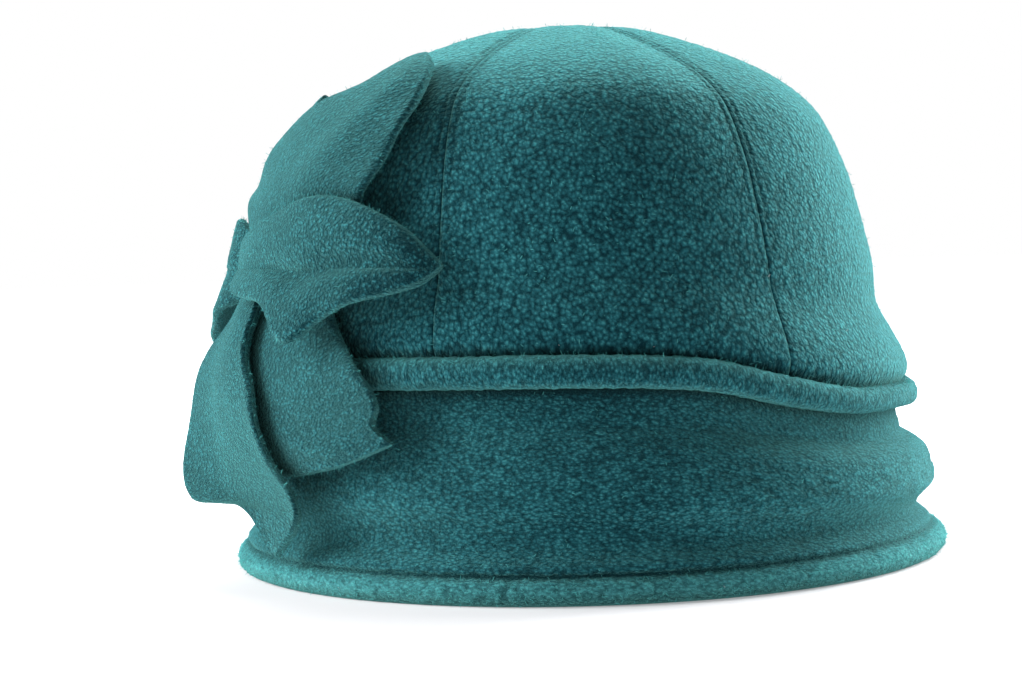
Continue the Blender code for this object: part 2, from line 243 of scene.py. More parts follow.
def cloth_mesh(name, points, cloth, shares, closed_rows):
    """A piece from rows of closed loops. Open rows end in a cap, closed rows run in a ring."""
    rows, around = points.shape[:2]
    index = np.arange(rows * around).reshape(rows, around)
    here = index if closed_rows else index[:-1]
    there = np.roll(index, -1, axis=0) if closed_rows else index[1:]
    quads = np.stack([here, np.roll(here, -1, axis=1), np.roll(there, -1, axis=1), there], axis=-1)
    faces = quads.reshape(-1, 4)
    mesh = bpy.data.meshes.new(name)
    mesh.vertices.add(rows * around)
    mesh.vertices.foreach_set("co", points.reshape(-1))
    mesh.loops.add(faces.size)
    mesh.loops.foreach_set("vertex_index", faces.reshape(-1))
    mesh.polygons.add(len(faces))
    mesh.polygons.foreach_set("loop_start", np.arange(0, faces.size, 4))
    mesh.update(calc_edges=True)
    flat = mesh.attributes.new("cloth", "FLOAT_VECTOR", "POINT")
    flat.data.foreach_set("vector", cloth.reshape(-1))
    for label, share in shares.items():
        kept = mesh.attributes.new(label, "FLOAT", "POINT")
        kept.data.foreach_set("value", np.broadcast_to(share, points.shape[:2]).reshape(-1))
    close_skin(mesh)
    mesh.polygons.foreach_set("use_smooth", np.ones(len(mesh.polygons), dtype=bool))
    return into_scene(name, mesh)


def close_skin(mesh):
    """Merges doubled points, fills the end caps and turns every face outwards."""
    made = bmesh.new()
    made.from_mesh(mesh)
    bmesh.ops.remove_doubles(made, verts=made.verts, dist=0.00001)
    open_edges = [edge for edge in made.edges if edge.is_boundary]
    if open_edges:
        bmesh.ops.holes_fill(made, edges=open_edges, sides=0)
    bmesh.ops.recalc_face_normals(made, faces=made.faces)
    made.to_mesh(mesh)
    made.free()


def arc_lengths(points):
    """How far along its row each point lies, in metres."""
    steps = np.linalg.norm(np.diff(points, axis=-2), axis=-1)
    start = np.zeros(steps.shape[:-1] + (1,))
    return np.concatenate([start, np.cumsum(steps, axis=-1)], axis=-1)


# %% [markdown]
# ## The crown's six gores
#
# A gore is a leaf of cloth that narrows to a point. Its outside is worked out from the dome's
# side view. Near each seam the cloth turns in to meet its neighbour, and a row of topstitching
# on each side of the seam presses a narrow channel into the pile.

# %% Sizes of a gore's stitches, seams and foot
# The grid of a gore, whose rows crowd a little towards its point
GORE_ROWS = 180
GORE_OUTSIDE = 150
GORE_INSIDE = 30
ROWS_CROWD = 0.9
LEAST_RADIUS = 3.0 * MM
# How far from the seam a row of stitches runs, how deep and wide it presses, and by how much
# that eases between stitches
TOPSTITCH_AWAY = 2.3 * MM
TOPSTITCH_DEPTH = 0.45 * MM
TOPSTITCH_WIDTH = 0.5 * MM
TOPSTITCH_LET_UP = 0.28
STITCH_PITCH = 3.2 * MM
# The pile closes over the stitches low on the crown, so only this share of them shows there.
STITCHES_LEAST = 0.12
STITCHES_FADE = 75.0 * MM
# Gores run into each other by this much, so that no light comes through a seam.
SEAM_OVERLAP = 0.15 * MM
# The cloth turns in at a seam, and its pile lies lower there.
SEAM_ROUND = 0.7 * MM
SEAM_SINK = 0.4 * MM
SEAM_SINK_LEAST = 0.85
# A dark core of painted shade runs along the seam this wide, at least this share of it low on the crown.
SEAM_SHADE_WIDTH = 0.45 * MM
SEAM_SHADE_LEAST = 0.3
SEAM_PILE_AWAY = 1.5 * MM
SEAM_PILE_LOST = 0.8
# At its foot a gore turns in and down to the welt.
FOOT_ROUND = 1.6 * MM
FOOT_TUCK = 1.6 * MM
FOOT_SINK = 0.8 * FLEECE
INSIDE_PILE = 0.35
GORE_FRINGE = 0.05
# Each piece, and the inside of a gore, reads its own part of the pile's pattern.
PIECES_APART = 40.0 * MM
SIDES_APART = 12.0
# middle along the dome, width, rise (of SLUMP)
SLUMP_HUMPS = ((0.045, 0.05, 0.45), (0.19, 0.06, -0.50))

# %% The crown's side view, and how the seams draw it in


def welt_centre(azimuth):
    """The height of the welt's middle, which dips towards one side."""
    return WELT_CENTRE - WELT_DIP * round_hat(1, azimuth)


def valley(azimuth, along):
    """How far the cloth is drawn in by the gore seams at this place on the dome."""
    depth = np.zeros(np.broadcast(azimuth, along).shape)
    near_top = np.minimum(1.0, (1.0 - along) / VALLEY_TOP)
    for seam, share, deepest in SEAM_VALLEYS:
        away = (azimuth - seam + 180.0) % 360.0 - 180.0
        lengthways = bell(along, deepest, VALLEY_RUN) * near_top
        depth += SEAM_VALLEY * share * bell(away, 0.0, VALLEY_SPREAD) * lengthways
    return depth


def dome_section(azimuth, along):
    """Radius and height of the crown's outside, before the seams draw it in."""
    foot = welt_centre(azimuth) + welt_height(azimuth) / 2 + SEAM_GAP
    radius = CROWN_HALF_WIDTH * through(DOME, 1, along)
    height = foot + (HAT_HEIGHT - foot) * through(DOME, 2, along)
    return radius + SLUMP * round_hat(3, azimuth) * humps(SLUMP_HUMPS, along), height


def inwards(section, azimuth, along, depth):
    """Points of a section, moved inwards along the section's own normal."""
    step = 0.01
    before = section(azimuth, np.maximum(along - step, 0.0))
    after = section(azimuth, np.minimum(along + step, 1.0))
    run = np.hypot(after[0] - before[0], after[1] - before[1])
    radius, height = section(azimuth, along)
    outward = (after[1] - before[1]) / run
    upward = (before[0] - after[0]) / run
    return radius - outward * depth, height - upward * depth


# %% One gore


def gore(name, first_seam):
    """One gore as a closed skin: outside, round the seam, and back over the inside."""
    along = GORE_POINT * np.linspace(0.0, 1.0, GORE_ROWS) ** ROWS_CROWD
    outside = np.linspace(-1.0, 1.0, GORE_OUTSIDE)
    inside = np.linspace(1.0, -1.0, GORE_INSIDE)
    share = np.concatenate([outside, inside])[None, :]
    depth = np.concatenate([np.zeros(GORE_OUTSIDE), np.full(GORE_INSIDE, FLEECE)])[None, :]
    is_outside = depth == 0.0
    middle = first_seam + GORE_SPAN / 2
    azimuth = middle + share * GORE_SPAN / 2
    up = along[:, None]
    drawn_in = depth + valley(azimuth, up)
    radius, height = inwards(dome_section, azimuth, up, drawn_in)
    from_seam = (1.0 - np.abs(share)) * np.radians(GORE_SPAN / 2) * radius
    climb = arc_lengths(stand(middle, *dome_section(middle, along)))[:, None]
    shown = np.clip(climb / STITCHES_FADE, STITCHES_LEAST, 1.0)
    stitches = 1.0 - TOPSTITCH_LET_UP + TOPSTITCH_LET_UP * np.cos(math.tau * climb / STITCH_PITCH)
    row = bell(from_seam, TOPSTITCH_AWAY, TOPSTITCH_WIDTH) * stitches
    turned = SEAM_SINK * np.maximum(shown, SEAM_SINK_LEAST) * bell(from_seam, 0.0, SEAM_ROUND)
    foot = bell(climb, 0.0, FOOT_ROUND)
    sunk = np.where(is_outside, TOPSTITCH_DEPTH * row * shown + turned + FOOT_SINK * foot, 0.0)
    radius, height = inwards(dome_section, azimuth, up, drawn_in + sunk)
    overlap = np.degrees(SEAM_OVERLAP / 2 / np.maximum(radius, LEAST_RADIUS))
    points = stand(azimuth + overlap * share, radius, height - FOOT_TUCK * foot)
    across = np.radians(azimuth - middle) * radius
    bed = PIECES_APART * (1 + GORE_NAMES.index(name)) + SIDES_APART * depth
    cloth = np.stack(np.broadcast_arrays(across, climb, bed), axis=-1)
    least_pile = 1.0 - SEAM_PILE_LOST * shown
    pile = np.where(is_outside, np.clip(from_seam / SEAM_PILE_AWAY, least_pile, 1.0), INSIDE_PILE)
    # Painted shade darkens the stitch channels and the seam's core; low on the crown the channels take
    # less.
    seam_shade = np.maximum(shown**2, SEAM_SHADE_LEAST) * bell(from_seam, 0.0, SEAM_SHADE_WIDTH)
    shares = {
        "pile_share": pile,
        "fringe": GORE_FRINGE * is_outside,
        "pressed": (shown**2 * row + seam_shade) * is_outside,
    }
    return cloth_mesh(name, points, cloth, shares, closed_rows=False)


# %% [markdown]
# ## The rolled welt
#
# The welt is a strip of fleece folded over a filler cord and sewn in with the crown. A ring of
# soft-cornered oblongs gives its roll, and small puckers show where the stitches pull it.

# %% Welt surface
WELT_AROUND = 780
WELT_ACROSS = 38
WELT_SQUEEZE = 1.5
WELT_BED = 300.0 * MM
PUCKER_COUNT = 118
PUCKER_DEPTH = 0.22 * MM
PUCKER_SHIFT = 0.5
# The top of the roll frays most, more towards its outside, and takes painted light from above there.
UPPER_LEAN = 0.4
WELT_TOP_LIGHT = 0.25
WELT_FRINGE = 0.4


def welt_height(azimuth):
    """The roll's own height, which is less where it is pulled flatter."""
    return WELT_HEIGHT * round_hat(4, azimuth)


def welt_radius():
    """How far the roll's middle runs from the hat's axis, before the plan is stretched."""
    return CROWN_HALF_WIDTH - WELT_SETBACK


def ring_cloth(azimuth, girth, radius, bed):
    """Where a ring's points lie on its cloth, wrapped round a drum so that its ends meet."""
    turn = np.radians(azimuth)
    x, y = radius * np.sin(turn), radius * np.cos(turn)
    return np.stack(np.broadcast_arrays(x, y, girth + bed), axis=-1)


def welt():
    """The roll as a ring. Each pucker draws it in and shifts it a little up or down."""
    azimuth = np.linspace(0.0, 360.0, WELT_AROUND, endpoint=False)[:, None]
    angle = math.pi + math.tau * np.arange(WELT_ACROSS)[None, :] / WELT_ACROSS
    power = 2 / WELT_SQUARENESS
    across = np.sign(np.cos(angle)) * np.abs(np.cos(angle)) ** power
    upright = np.sign(np.sin(angle)) * np.abs(np.sin(angle)) ** power
    pucker = PUCKER_DEPTH * np.cos(np.radians(azimuth) * PUCKER_COUNT) * np.abs(np.sin(angle))
    radius = welt_radius() + across * (WELT_DEPTH / 2 - np.abs(pucker))
    height = welt_centre(azimuth) + upright * (welt_height(azimuth) / 2) + pucker * PUCKER_SHIFT
    points = stand(azimuth, radius, height)
    cloth = ring_cloth(azimuth, arc_lengths(points), WELT_SQUEEZE * CROWN_HALF_WIDTH, WELT_BED)
    upper = np.clip(np.sin(angle), 0.0, 1.0) * np.clip(UPPER_LEAN + np.cos(angle), 0.0, 1.0)
    shares = {"pile_share": 1.0, "paleness": WELT_TOP_LIGHT * upper, "fringe": WELT_FRINGE * upper}
    return cloth_mesh("rolled_welt", points, cloth, shares, closed_rows=True)


# %% [markdown]
# ## The side band and its hem
#
# The band is one long strip. It hangs from under the welt, slouches in a soft fold and flares
# to the brim, where it is turned up inside and stitched through, so a line runs round above the
# edge. Drawn as a cut through the cloth and swung round the hat, it is one closed ring.

# %% Sizes of the band's creases and hem
BAND_AROUND = 800
BAND_OUTSIDE = 74
BAND_INSIDE = 26
BAND_SQUEEZE = 1.7
BAND_BED = 600.0 * MM
BAND_FRINGE = 0.02
# Creases are deepest where the hat slumps, and wrinkles where it folds.
BAND_CREASE = 1.5 * MM
CREASE_REACH = 1.3
# middle down the band, width, rise (of BAND_CREASE)
BAND_CREASES = ((0.32, 0.07, 1.0), (0.19, 0.05, -1.3), (0.66, 0.09, -0.6))
WRINKLE_REACH = 1.5
WRINKLE_MOST = 0.9
WRINKLE_DOWN = 0.45
WRINKLE_SPREAD = 0.14
# How far down the band the painted shadow under the welt reaches
PAINTED_WELT_SHADOW = 0.03
# The hem's fold in section, as angles below level from its outside to its inside. The cloth is
# pressed flat between HEM_FLAT and its like on the inside, because the hat rests there.
HEM_EDGE = (30.0, 60.0, 75.0, 105.0, 120.0, 150.0)
HEM_FLAT = 60.0
HEM_STEP = 0.35 * MM
HEM_STITCH_UP = 7.4 * MM
# height over the row of stitches, width, rise (all in mm)
HEM_ROLLS = ((0.0, 0.9, -1.3), (-3.6, 2.8, 0.9), (2.6, 1.8, 0.45))
# The hem has the longest pile, and a line of painted shade along its row of stitches. Its lower
# part and edge are painted paler with light from the table below and through its loose fibres.
STITCH_STEP = 0.4 * MM
HEM_STITCH_SHADE = 0.75 * MM
HEM_PILE = 0.8
HEM_UNDERLIGHT = 0.10
EDGE_RIM_LIGHT = 0.5
TIP_RIM_LIGHT = 0.3
# The hem rests on the table, so its pile is low there and its stray fibres start above it.
FLOOR_EASE = 0.8 * MM
FIBRE_CLEARANCE = 1.4 * MM

# %% The band's side view


def band_top(azimuth):
    """The band is sewn under the welt, where the roll's underside comes down to it."""
    inset = (welt_radius() - CROWN_HALF_WIDTH + GROOVE_SETBACK) / (WELT_DEPTH / 2)
    drop = (1.0 - inset**WELT_SQUARENESS) ** (1.0 / WELT_SQUARENESS)
    return welt_centre(azimuth) - drop * welt_height(azimuth) / 2 - SEAM_GAP


def band_section(azimuth, down):
    """Radius and height of the band's outside, from under the welt to the hem's edge."""
    groove = CROWN_HALF_WIDTH - GROOVE_SETBACK
    brim = CROWN_HALF_WIDTH + BRIM_FLARE
    fold = BAND_FOLD * round_hat(2, azimuth)
    radius = groove + (brim - groove) * through(BAND, 1, down) + fold * through(BAND, 2, down)
    return radius, band_top(azimuth) + (HEM_ROUND - band_top(azimuth)) * down


def hem_swell(height):
    """How the hem puffs out, and how its row of stitches draws it in."""
    return MM * humps(HEM_ROLLS, (height - HEM_STITCH_UP) / MM)


# %% The band's pile and its skin


def band_shares(azimuth, down, height):
    """Where the band's pile stands, frays and wrinkles, and takes painted rim light and painted shade."""
    is_outside = np.arange(height.shape[1])[None, :] < BAND_OUTSIDE + len(HEM_EDGE)
    below_stitches = beneath(height, HEM_STITCH_UP, STITCH_STEP)
    pile = np.where(is_outside, 1.0 + HEM_PILE * below_stitches, INSIDE_PILE)
    edge = np.clip(1.0 - height / HEM_STITCH_UP, 0.0, 1.0) * is_outside
    # Painted light from the table below: paler over the hem, more towards its edge, palest at the very
    # tips.
    paleness = HEM_UNDERLIGHT * below_stitches * is_outside + EDGE_RIM_LIGHT * edge
    wrinkled = np.clip(WRINKLE_REACH * round_hat(2, azimuth), 0.0, WRINKLE_MOST)
    wrinkle = np.zeros_like(height)
    wrinkle[:, :BAND_OUTSIDE] = wrinkled * bell(down, WRINKLE_DOWN, WRINKLE_SPREAD)
    # Painted shade along the hem's row of stitches and under the welt
    pressed = bell(height, HEM_STITCH_UP, HEM_STITCH_SHADE) * is_outside
    pressed[:, :BAND_OUTSIDE] += bell(down, 0.0, PAINTED_WELT_SHADOW)
    return {
        "pile_share": pile * np.clip(height / FLOOR_EASE, 0.0, 1.0),
        "paleness": paleness + TIP_RIM_LIGHT * edge**3,
        "fringe": (BAND_FRINGE + edge) * (height > FIBRE_CLEARANCE),
        "wrinkle": wrinkle,
        "pressed": pressed,
    }


def side_band():
    """The cut through the cloth: down the outside, round the edge, and up the inside."""
    azimuth = np.linspace(0.0, 360.0, BAND_AROUND, endpoint=False)[:, None]
    down = np.linspace(0.0, 1.0, BAND_OUTSIDE)[None, :]
    radius, height = band_section(azimuth, down)
    creased = np.clip(CREASE_REACH * round_hat(3, azimuth), 0.0, 1.0)
    outside = radius + hem_swell(height) + BAND_CREASE * creased * humps(BAND_CREASES, down)
    edge_radius, edge_height = radius[:, -1:], height[:, -1:]
    turn = np.radians(np.array(HEM_EDGE))[None, :]
    drop = np.minimum(np.sin(turn) / math.sin(math.radians(HEM_FLAT)), 1.0) * edge_height
    swell = hem_swell(edge_height) * np.clip(np.cos(turn), 0.0, 1.0)
    fold_radius = edge_radius - FLEECE + FLEECE * np.cos(turn) + swell
    inner_down = np.linspace(1.0, 0.0, BAND_INSIDE)[None, :]
    inner_radius, inner_height = band_section(azimuth, inner_down)
    plies = 1.0 + beneath(inner_height, HEM_DEPTH, HEM_STEP)
    radius = np.concatenate([outside, fold_radius, inner_radius - FLEECE * plies], axis=1)
    height = np.concatenate([height, edge_height - drop, inner_height], axis=1)
    points = stand(azimuth, radius, height)
    cloth = ring_cloth(azimuth, BAND_SQUEEZE * arc_lengths(points), CROWN_HALF_WIDTH, BAND_BED)
    return cloth_mesh("side_band", points, cloth, band_shares(azimuth, down, height), closed_rows=True)


# %% [markdown]
# ## The flower's petals
#
# Each petal is two plies sewn together and turned, so its edge is round. A petal is drawn over
# the cloth of the hat: a row gives the places of its left and right edges, and how far they and
# its middle stand off. Petals lie over each other in layers at the sewn middle.

# %% Petal tables
# The petals, each from its sewn end to its tip. Seen from outside the hat, the places of its
# left and right edges are measured over the cloth from the flower's middle, across towards the
# front and up, in shares of PETAL_LENGTH. The layer counts the petals that it lies over, the
# lifts are shares of PETAL_LIFT, and a fold's rise is a share of PETAL_FOLD.
# layer, (fold across, fold rise, fold width), then rows of: along, left across, left up,
# right across, right up, left lift, middle lift, right lift
PETALS = {
    "petal_upper": (2, (0.00, 0.0, 1.00), (
        (0.00, -0.07, 0.02, 0.08, 0.00, 0.00, 0.00, 0.00),
        (0.10, -0.13, 0.15, 0.27, 0.11, 0.08, 0.00, 0.00),
        (0.20, -0.27, 0.28, 0.50, 0.20, 0.22, -0.06, -0.10),
        (0.42, -0.27, 0.39, 0.60, 0.33, -0.02, -0.08, -0.04),
        (0.65, 0.04, 0.60, 0.65, 0.49, -0.26, -0.22, -0.14),
        (0.85, 0.31, 0.69, 0.64, 0.66, -0.42, -0.32, -0.36),
        (0.94, 0.37, 0.79, 0.53, 0.80, -0.48, -0.44, -0.48),
        (1.00, 0.37, 0.91, 0.37, 0.91, -0.58, -0.58, -0.58),
    )),
    "petal_front": (3, (0.05, -1.6, 0.34), (
        (0.00, -0.14, 0.13, -0.12, -0.06, 0.00, 0.04, 0.08),
        (0.12, 0.06, 0.19, 0.08, -0.11, -0.01, 0.20, 0.30),
        (0.24, 0.22, 0.24, 0.28, -0.14, -0.03, 0.24, 0.24),
        (0.38, 0.38, 0.28, 0.46, -0.26, -0.06, 0.24, 0.06),
        (0.50, 0.50, 0.28, 0.57, -0.18, -0.08, 0.20, -0.04),
        (0.66, 0.64, 0.24, 0.69, -0.11, -0.16, 0.10, -0.12),
        (0.84, 0.79, 0.16, 0.84, -0.05, -0.38, -0.24, -0.46),
        (1.00, 0.89, 0.06, 0.89, 0.06, -0.86, -0.86, -0.86),
    )),
    "petal_lower_front": (0, (0.00, 0.0, 1.00), (
        (0.00, 0.08, 0.00, 0.02, -0.08, 0.00, 0.00, 0.00),
        (0.12, 0.22, -0.02, -0.06, -0.18, 0.02, 0.26, 0.40),
        (0.28, 0.42, -0.06, -0.03, -0.38, 0.08, 0.28, 0.44),
        (0.50, 0.58, -0.20, 0.08, -0.60, 0.18, 0.26, 0.40),
        (0.70, 0.74, -0.33, 0.34, -0.68, 0.26, 0.18, 0.16),
        (0.82, 0.81, -0.42, 0.58, -0.65, 0.26, 0.12, 0.06),
        (0.91, 0.80, -0.49, 0.72, -0.61, 0.16, 0.08, 0.04),
        (1.00, 0.87, -0.55, 0.87, -0.55, 0.04, 0.04, 0.04),
    )),
    "petal_lower": (2, (-0.45, 1.0, 0.30), (
        (0.00, 0.06, -0.02, -0.08, -0.02, 0.00, 0.00, 0.00),
        (0.08, 0.10, -0.11, -0.12, -0.07, 0.02, 0.00, 0.00),
        (0.20, 0.16, -0.26, -0.19, -0.18, 0.12, 0.08, 0.04),
        (0.40, 0.28, -0.42, -0.29, -0.36, 0.18, 0.14, 0.54),
        (0.60, 0.40, -0.61, -0.22, -0.60, 0.16, -0.04, 0.84),
        (0.76, 0.54, -0.73, 0.00, -0.79, 0.06, -0.14, 0.84),
        (0.88, 0.54, -0.83, 0.28, -0.79, -0.12, -0.12, 0.24),
        (1.00, 0.36, -0.96, 0.36, -0.96, -0.56, -0.56, -0.56),
    )),
    "petal_back": (1, (0.00, 0.0, 1.00), (
        (0.00, 0.00, -0.08, 0.00, 0.07, 0.00, 0.00, 0.00),
        (0.12, -0.13, -0.07, -0.13, 0.13, 0.00, 0.00, 0.00),
        (0.30, -0.28, -0.17, -0.27, 0.22, 0.88, 0.88, 0.84),
        (0.54, -0.42, -0.26, -0.46, 0.16, 0.84, 0.78, 0.62),
        (0.78, -0.56, -0.31, -0.60, -0.04, 0.76, 0.66, 0.50),
        (1.00, -0.68, -0.28, -0.68, -0.28, 0.68, 0.68, 0.68),
    )),
    "petal_upper_back": (0, (0.00, 0.0, 1.00), (
        (0.00, -0.08, 0.00, 0.00, 0.07, 0.00, 0.00, 0.00),
        (0.30, -0.36, 0.22, -0.10, 0.40, 0.00, 0.02, 0.00),
        (0.60, -0.53, 0.42, -0.16, 0.62, 0.02, 0.03, 0.00),
        (0.85, -0.38, 0.58, -0.12, 0.68, 0.02, 0.02, 0.00),
        (1.00, -0.14, 0.73, -0.14, 0.73, 0.02, 0.02, 0.02),
    )),
}

# %% Sizes of a petal's edges, creases and ripples
# The grid of a petal. A cosine crowds its rows towards the ends and its columns towards the
# edges, and these even them out a little.
PETAL_ROWS = 116
PETAL_COLUMNS = 70
ROWS_EVENED = 0.25
COLUMNS_EVENED = 0.35
PETAL_BEDS_FROM = 10
# The sewn edge has less pile and more loose fibres, and is painted paler with rim light.
PETAL_PILE = 0.7
PETAL_RIM_LIGHT = 0.12
PETAL_FRINGE = 0.04
PETAL_EDGE_FRINGE = 0.5
# Waves along the edges, which differ from side to side and from petal to petal
RIPPLES = 3.4
RIPPLE_HEIGHT = 0.55 * MM
RIPPLE_PER_LAYER = 0.31
RIPPLE_PER_SIDE = 0.25
# Soft creases that worn petals take on. across, rise (mm), width
PETAL_CREASES = {
    "petal_upper": (0.35, 1.4, 0.30),
    "petal_front": (0.10, -1.5, 0.34),
    "petal_lower_front": (0.40, 0.9, 0.28),
    "petal_lower": (-0.05, 1.0, 0.30),
    "petal_back": (0.20, 0.8, 0.30),
    "petal_upper_back": (0.00, 0.6, 0.40),
}

# %% The bed that the petals lie on
# The dome is read in this many steps, from the first one that stands clear of the welt.
BED_STEPS = 25
BED_FIRST = 3


def bed_outline():
    """What the petals lie on, in rows of how far up over the cloth, radius and height."""
    brim = CROWN_HALF_WIDTH + BRIM_FLARE + SEAM_GAP
    welt_out = welt_radius() + WELT_DEPTH / 2 + SEAM_GAP
    steps = np.arange(BED_FIRST, BED_STEPS + 1) / BED_STEPS
    radius, height = inwards(dome_section, FLOWER_AZIMUTH, steps, -SEAM_GAP)
    radius = np.concatenate([[brim, brim, welt_out], radius])
    height = np.concatenate([[0.0, HEM_DEPTH, welt_centre(FLOWER_AZIMUTH)], height])
    up = arc_lengths(np.stack([radius, height], axis=-1))
    return np.stack([up, radius, height], axis=-1)


BED = bed_outline()
print("from the table to the top of the crown it is", round(BED[-1, 0] / MM), "mm over the cloth")


def over_the_bed(across, up, lift):
    """Points above the hat, placed over the cloth from the flower's middle."""
    step = 1.0 * MM
    climb = FLOWER_UP + up
    radius, height = through(BED, 1, climb), through(BED, 2, climb)
    run = through(BED, 1, climb + step) - through(BED, 1, climb - step)
    rise = through(BED, 2, climb + step) - through(BED, 2, climb - step)
    azimuth = FLOWER_AZIMUTH + np.degrees(across / radius)
    length = np.hypot(run, rise)
    return stand(azimuth, radius + lift * rise / length, height - lift * run / length)


# %% One petal


def petal(name):
    """Two plies sewn and turned: over the top from left to right, and back underneath."""
    layer, (fold_across, fold_rise, fold_width), rows = PETALS[name]
    even = np.linspace(0.0, 1.0, PETAL_ROWS)
    evened = 1.0 - ROWS_EVENED * np.sin(math.pi * even) ** 2
    along = (0.5 - 0.5 * np.cos(math.pi * even) * evened)[:, None]
    sweep = math.pi * (np.arange(PETAL_COLUMNS) + 0.5) / PETAL_COLUMNS
    top = -np.cos(sweep) * (1.0 - COLUMNS_EVENED * np.sin(sweep) ** 2)
    across = np.concatenate([top, top[::-1]])[None, :]
    side = np.repeat((1.0, -1.0), PETAL_COLUMNS)[None, :]
    share = (across + 1.0) / 2.0
    left_x, left_y, right_x, right_y, left, middle, right = (
        through(rows, column, along) for column in range(1, 8)
    )
    bow = middle - (left + right) / 2.0
    lift = left + (right - left) * share + bow * (1.0 - across**2)
    seat = PETAL_THICKNESS / 2 + layer * (PETAL_THICKNESS + PETAL_CLEARANCE)
    inside = (1.0 - np.maximum(np.abs(across), np.abs(2.0 * along - 1.0))) / PETAL_EDGE
    round_edge = np.sqrt(1.0 - (1.0 - np.minimum(inside, 1.0)) ** 2)
    thickness = side * PETAL_THICKNESS / 2 * round_edge
    crease_across, crease_rise, crease_width = PETAL_CREASES[name]
    fold = fold_rise * PETAL_FOLD * bell(across, fold_across, fold_width)
    fold = fold + crease_rise * MM * bell(across, crease_across, crease_width)
    phase = RIPPLE_PER_LAYER * layer + RIPPLE_PER_SIDE * (across > 0.0)
    ripple = np.sin(math.tau * (RIPPLES * along + phase))
    fold = (fold + RIPPLE_HEIGHT * across**4 * ripple) * np.sin(math.pi * along)
    points = over_the_bed(
        PETAL_LENGTH * (left_x + (right_x - left_x) * share),
        PETAL_LENGTH * (left_y + (right_y - left_y) * share),
        seat + PETAL_LIFT * lift + fold + thickness,
    )
    spread = arc_lengths(points)
    spread -= spread[:, PETAL_COLUMNS // 2][:, None]
    length = arc_lengths(points[:, PETAL_COLUMNS // 2])[:, None]
    bed = PIECES_APART * (list(PETALS).index(name) + PETAL_BEDS_FROM)
    cloth = np.stack(np.broadcast_arrays(spread, length, bed), axis=-1)
    near_edge = 1.0 - round_edge
    shares = {
        "pile_share": PETAL_PILE + (1.0 - PETAL_PILE) * round_edge,
        "paleness": PETAL_RIM_LIGHT * near_edge,
        "fringe": PETAL_FRINGE + PETAL_EDGE_FRINGE * near_edge,
    }
    return cloth_mesh(name, points, cloth, shares, closed_rows=False)


# %% Cutting all the pieces
pieces = {name: gore(name, FIRST_SEAM + k * GORE_SPAN) for k, name in enumerate(GORE_NAMES)}
pieces["rolled_welt"] = welt()
pieces["side_band"] = side_band()
pieces.update({name: petal(name) for name in PETALS})
for name, piece in pieces.items():
    print(name, len(piece.data.polygons), "faces")

# %% [markdown]
# ## Raising the pile
#
# Anti-pill fleece is a knit whose loops are brushed out, sheared and tumbled, which rolls the
# fibres into small soft clumps about two millimetres across. One Geometry Nodes tree raises
# them on every piece: rounded cells from a Voronoi texture, bent out of line by noise, push
# each point out along its normal. The tree also keeps the height that it gave each point, with
# the painted light and shade of wrinkles and grooves added in, and the material reads it: it
# paints the gaps between clumps darker and their tips paler, partly as shade and light on the
# pile and partly as the cloth's own uneven tone.

# %% Helpers for nodes and trees


def add_node(tree, kind, settings=None, **links):
    """Adds a node, sets its properties and fills its inputs.

    An input takes a value, another node's socket, or a node, which stands for its first output.
    """
    node = tree.nodes.new(kind)
    for key, value in (settings or {}).items():
        setattr(node, key, value)
    for key, value in links.items():
        is_number = key[0] == "i" and key[1:].isdigit()
        socket = node.inputs[int(key[1:])] if is_number else node.inputs[key]
        if isinstance(value, bpy.types.Node):
            value = value.outputs[0]
        if isinstance(value, bpy.types.NodeSocket):
            tree.links.new(value, socket)
        else:
            socket.default_value = value
    return node


def new_tree(name, inputs):
    """A tree that takes a mesh and the named inputs, and its node that holds them."""
    tree = bpy.data.node_groups.new(name, "GeometryNodeTree")
    sockets = {"Geometry": "Geometry", **inputs, "Material": "Material"}
    for label, kind in sockets.items():
        tree.interface.new_socket(label, in_out="INPUT", socket_type=f"NodeSocket{kind}")
    tree.interface.new_socket("Geometry", in_out="OUTPUT", socket_type="NodeSocketGeometry")
    return tree, add_node(tree, "NodeGroupInput")


def finish_tree(tree, given, geometry):
    """Ends a tree: copies become real faces, which take the material that was given."""
    whole = add_node(tree, "GeometryNodeRealizeInstances", Geometry=geometry)
    painted = add_node(
        tree, "GeometryNodeSetMaterial", Geometry=whole, Material=given.outputs["Material"],
    )
    add_node(tree, "NodeGroupOutput", i0=painted)
    return tree


# %% The tree that raises the pile
WRINKLE_LENGTH = 6.0 * MM
WRINKLE_WIDTH = 2.8 * MM
# A clump is a cell, bent by noise, that rises from its edge to its top.
CELL_BEND = 0.9
CELL_EDGE = 0.72
CELL_TOP = 0.05
CRUMPLE_SCALE = 2.3
# The height that stays where the cloth was, how much painted light and shade the wrinkles' streaks
# add to the colour, and how dark the painted shade of seams, stitches and the welt's underside is
PILE_LEVEL = 0.45
STREAK_SHADE = 2.8
PAINTED_GROOVE_DARKNESS = -1.6


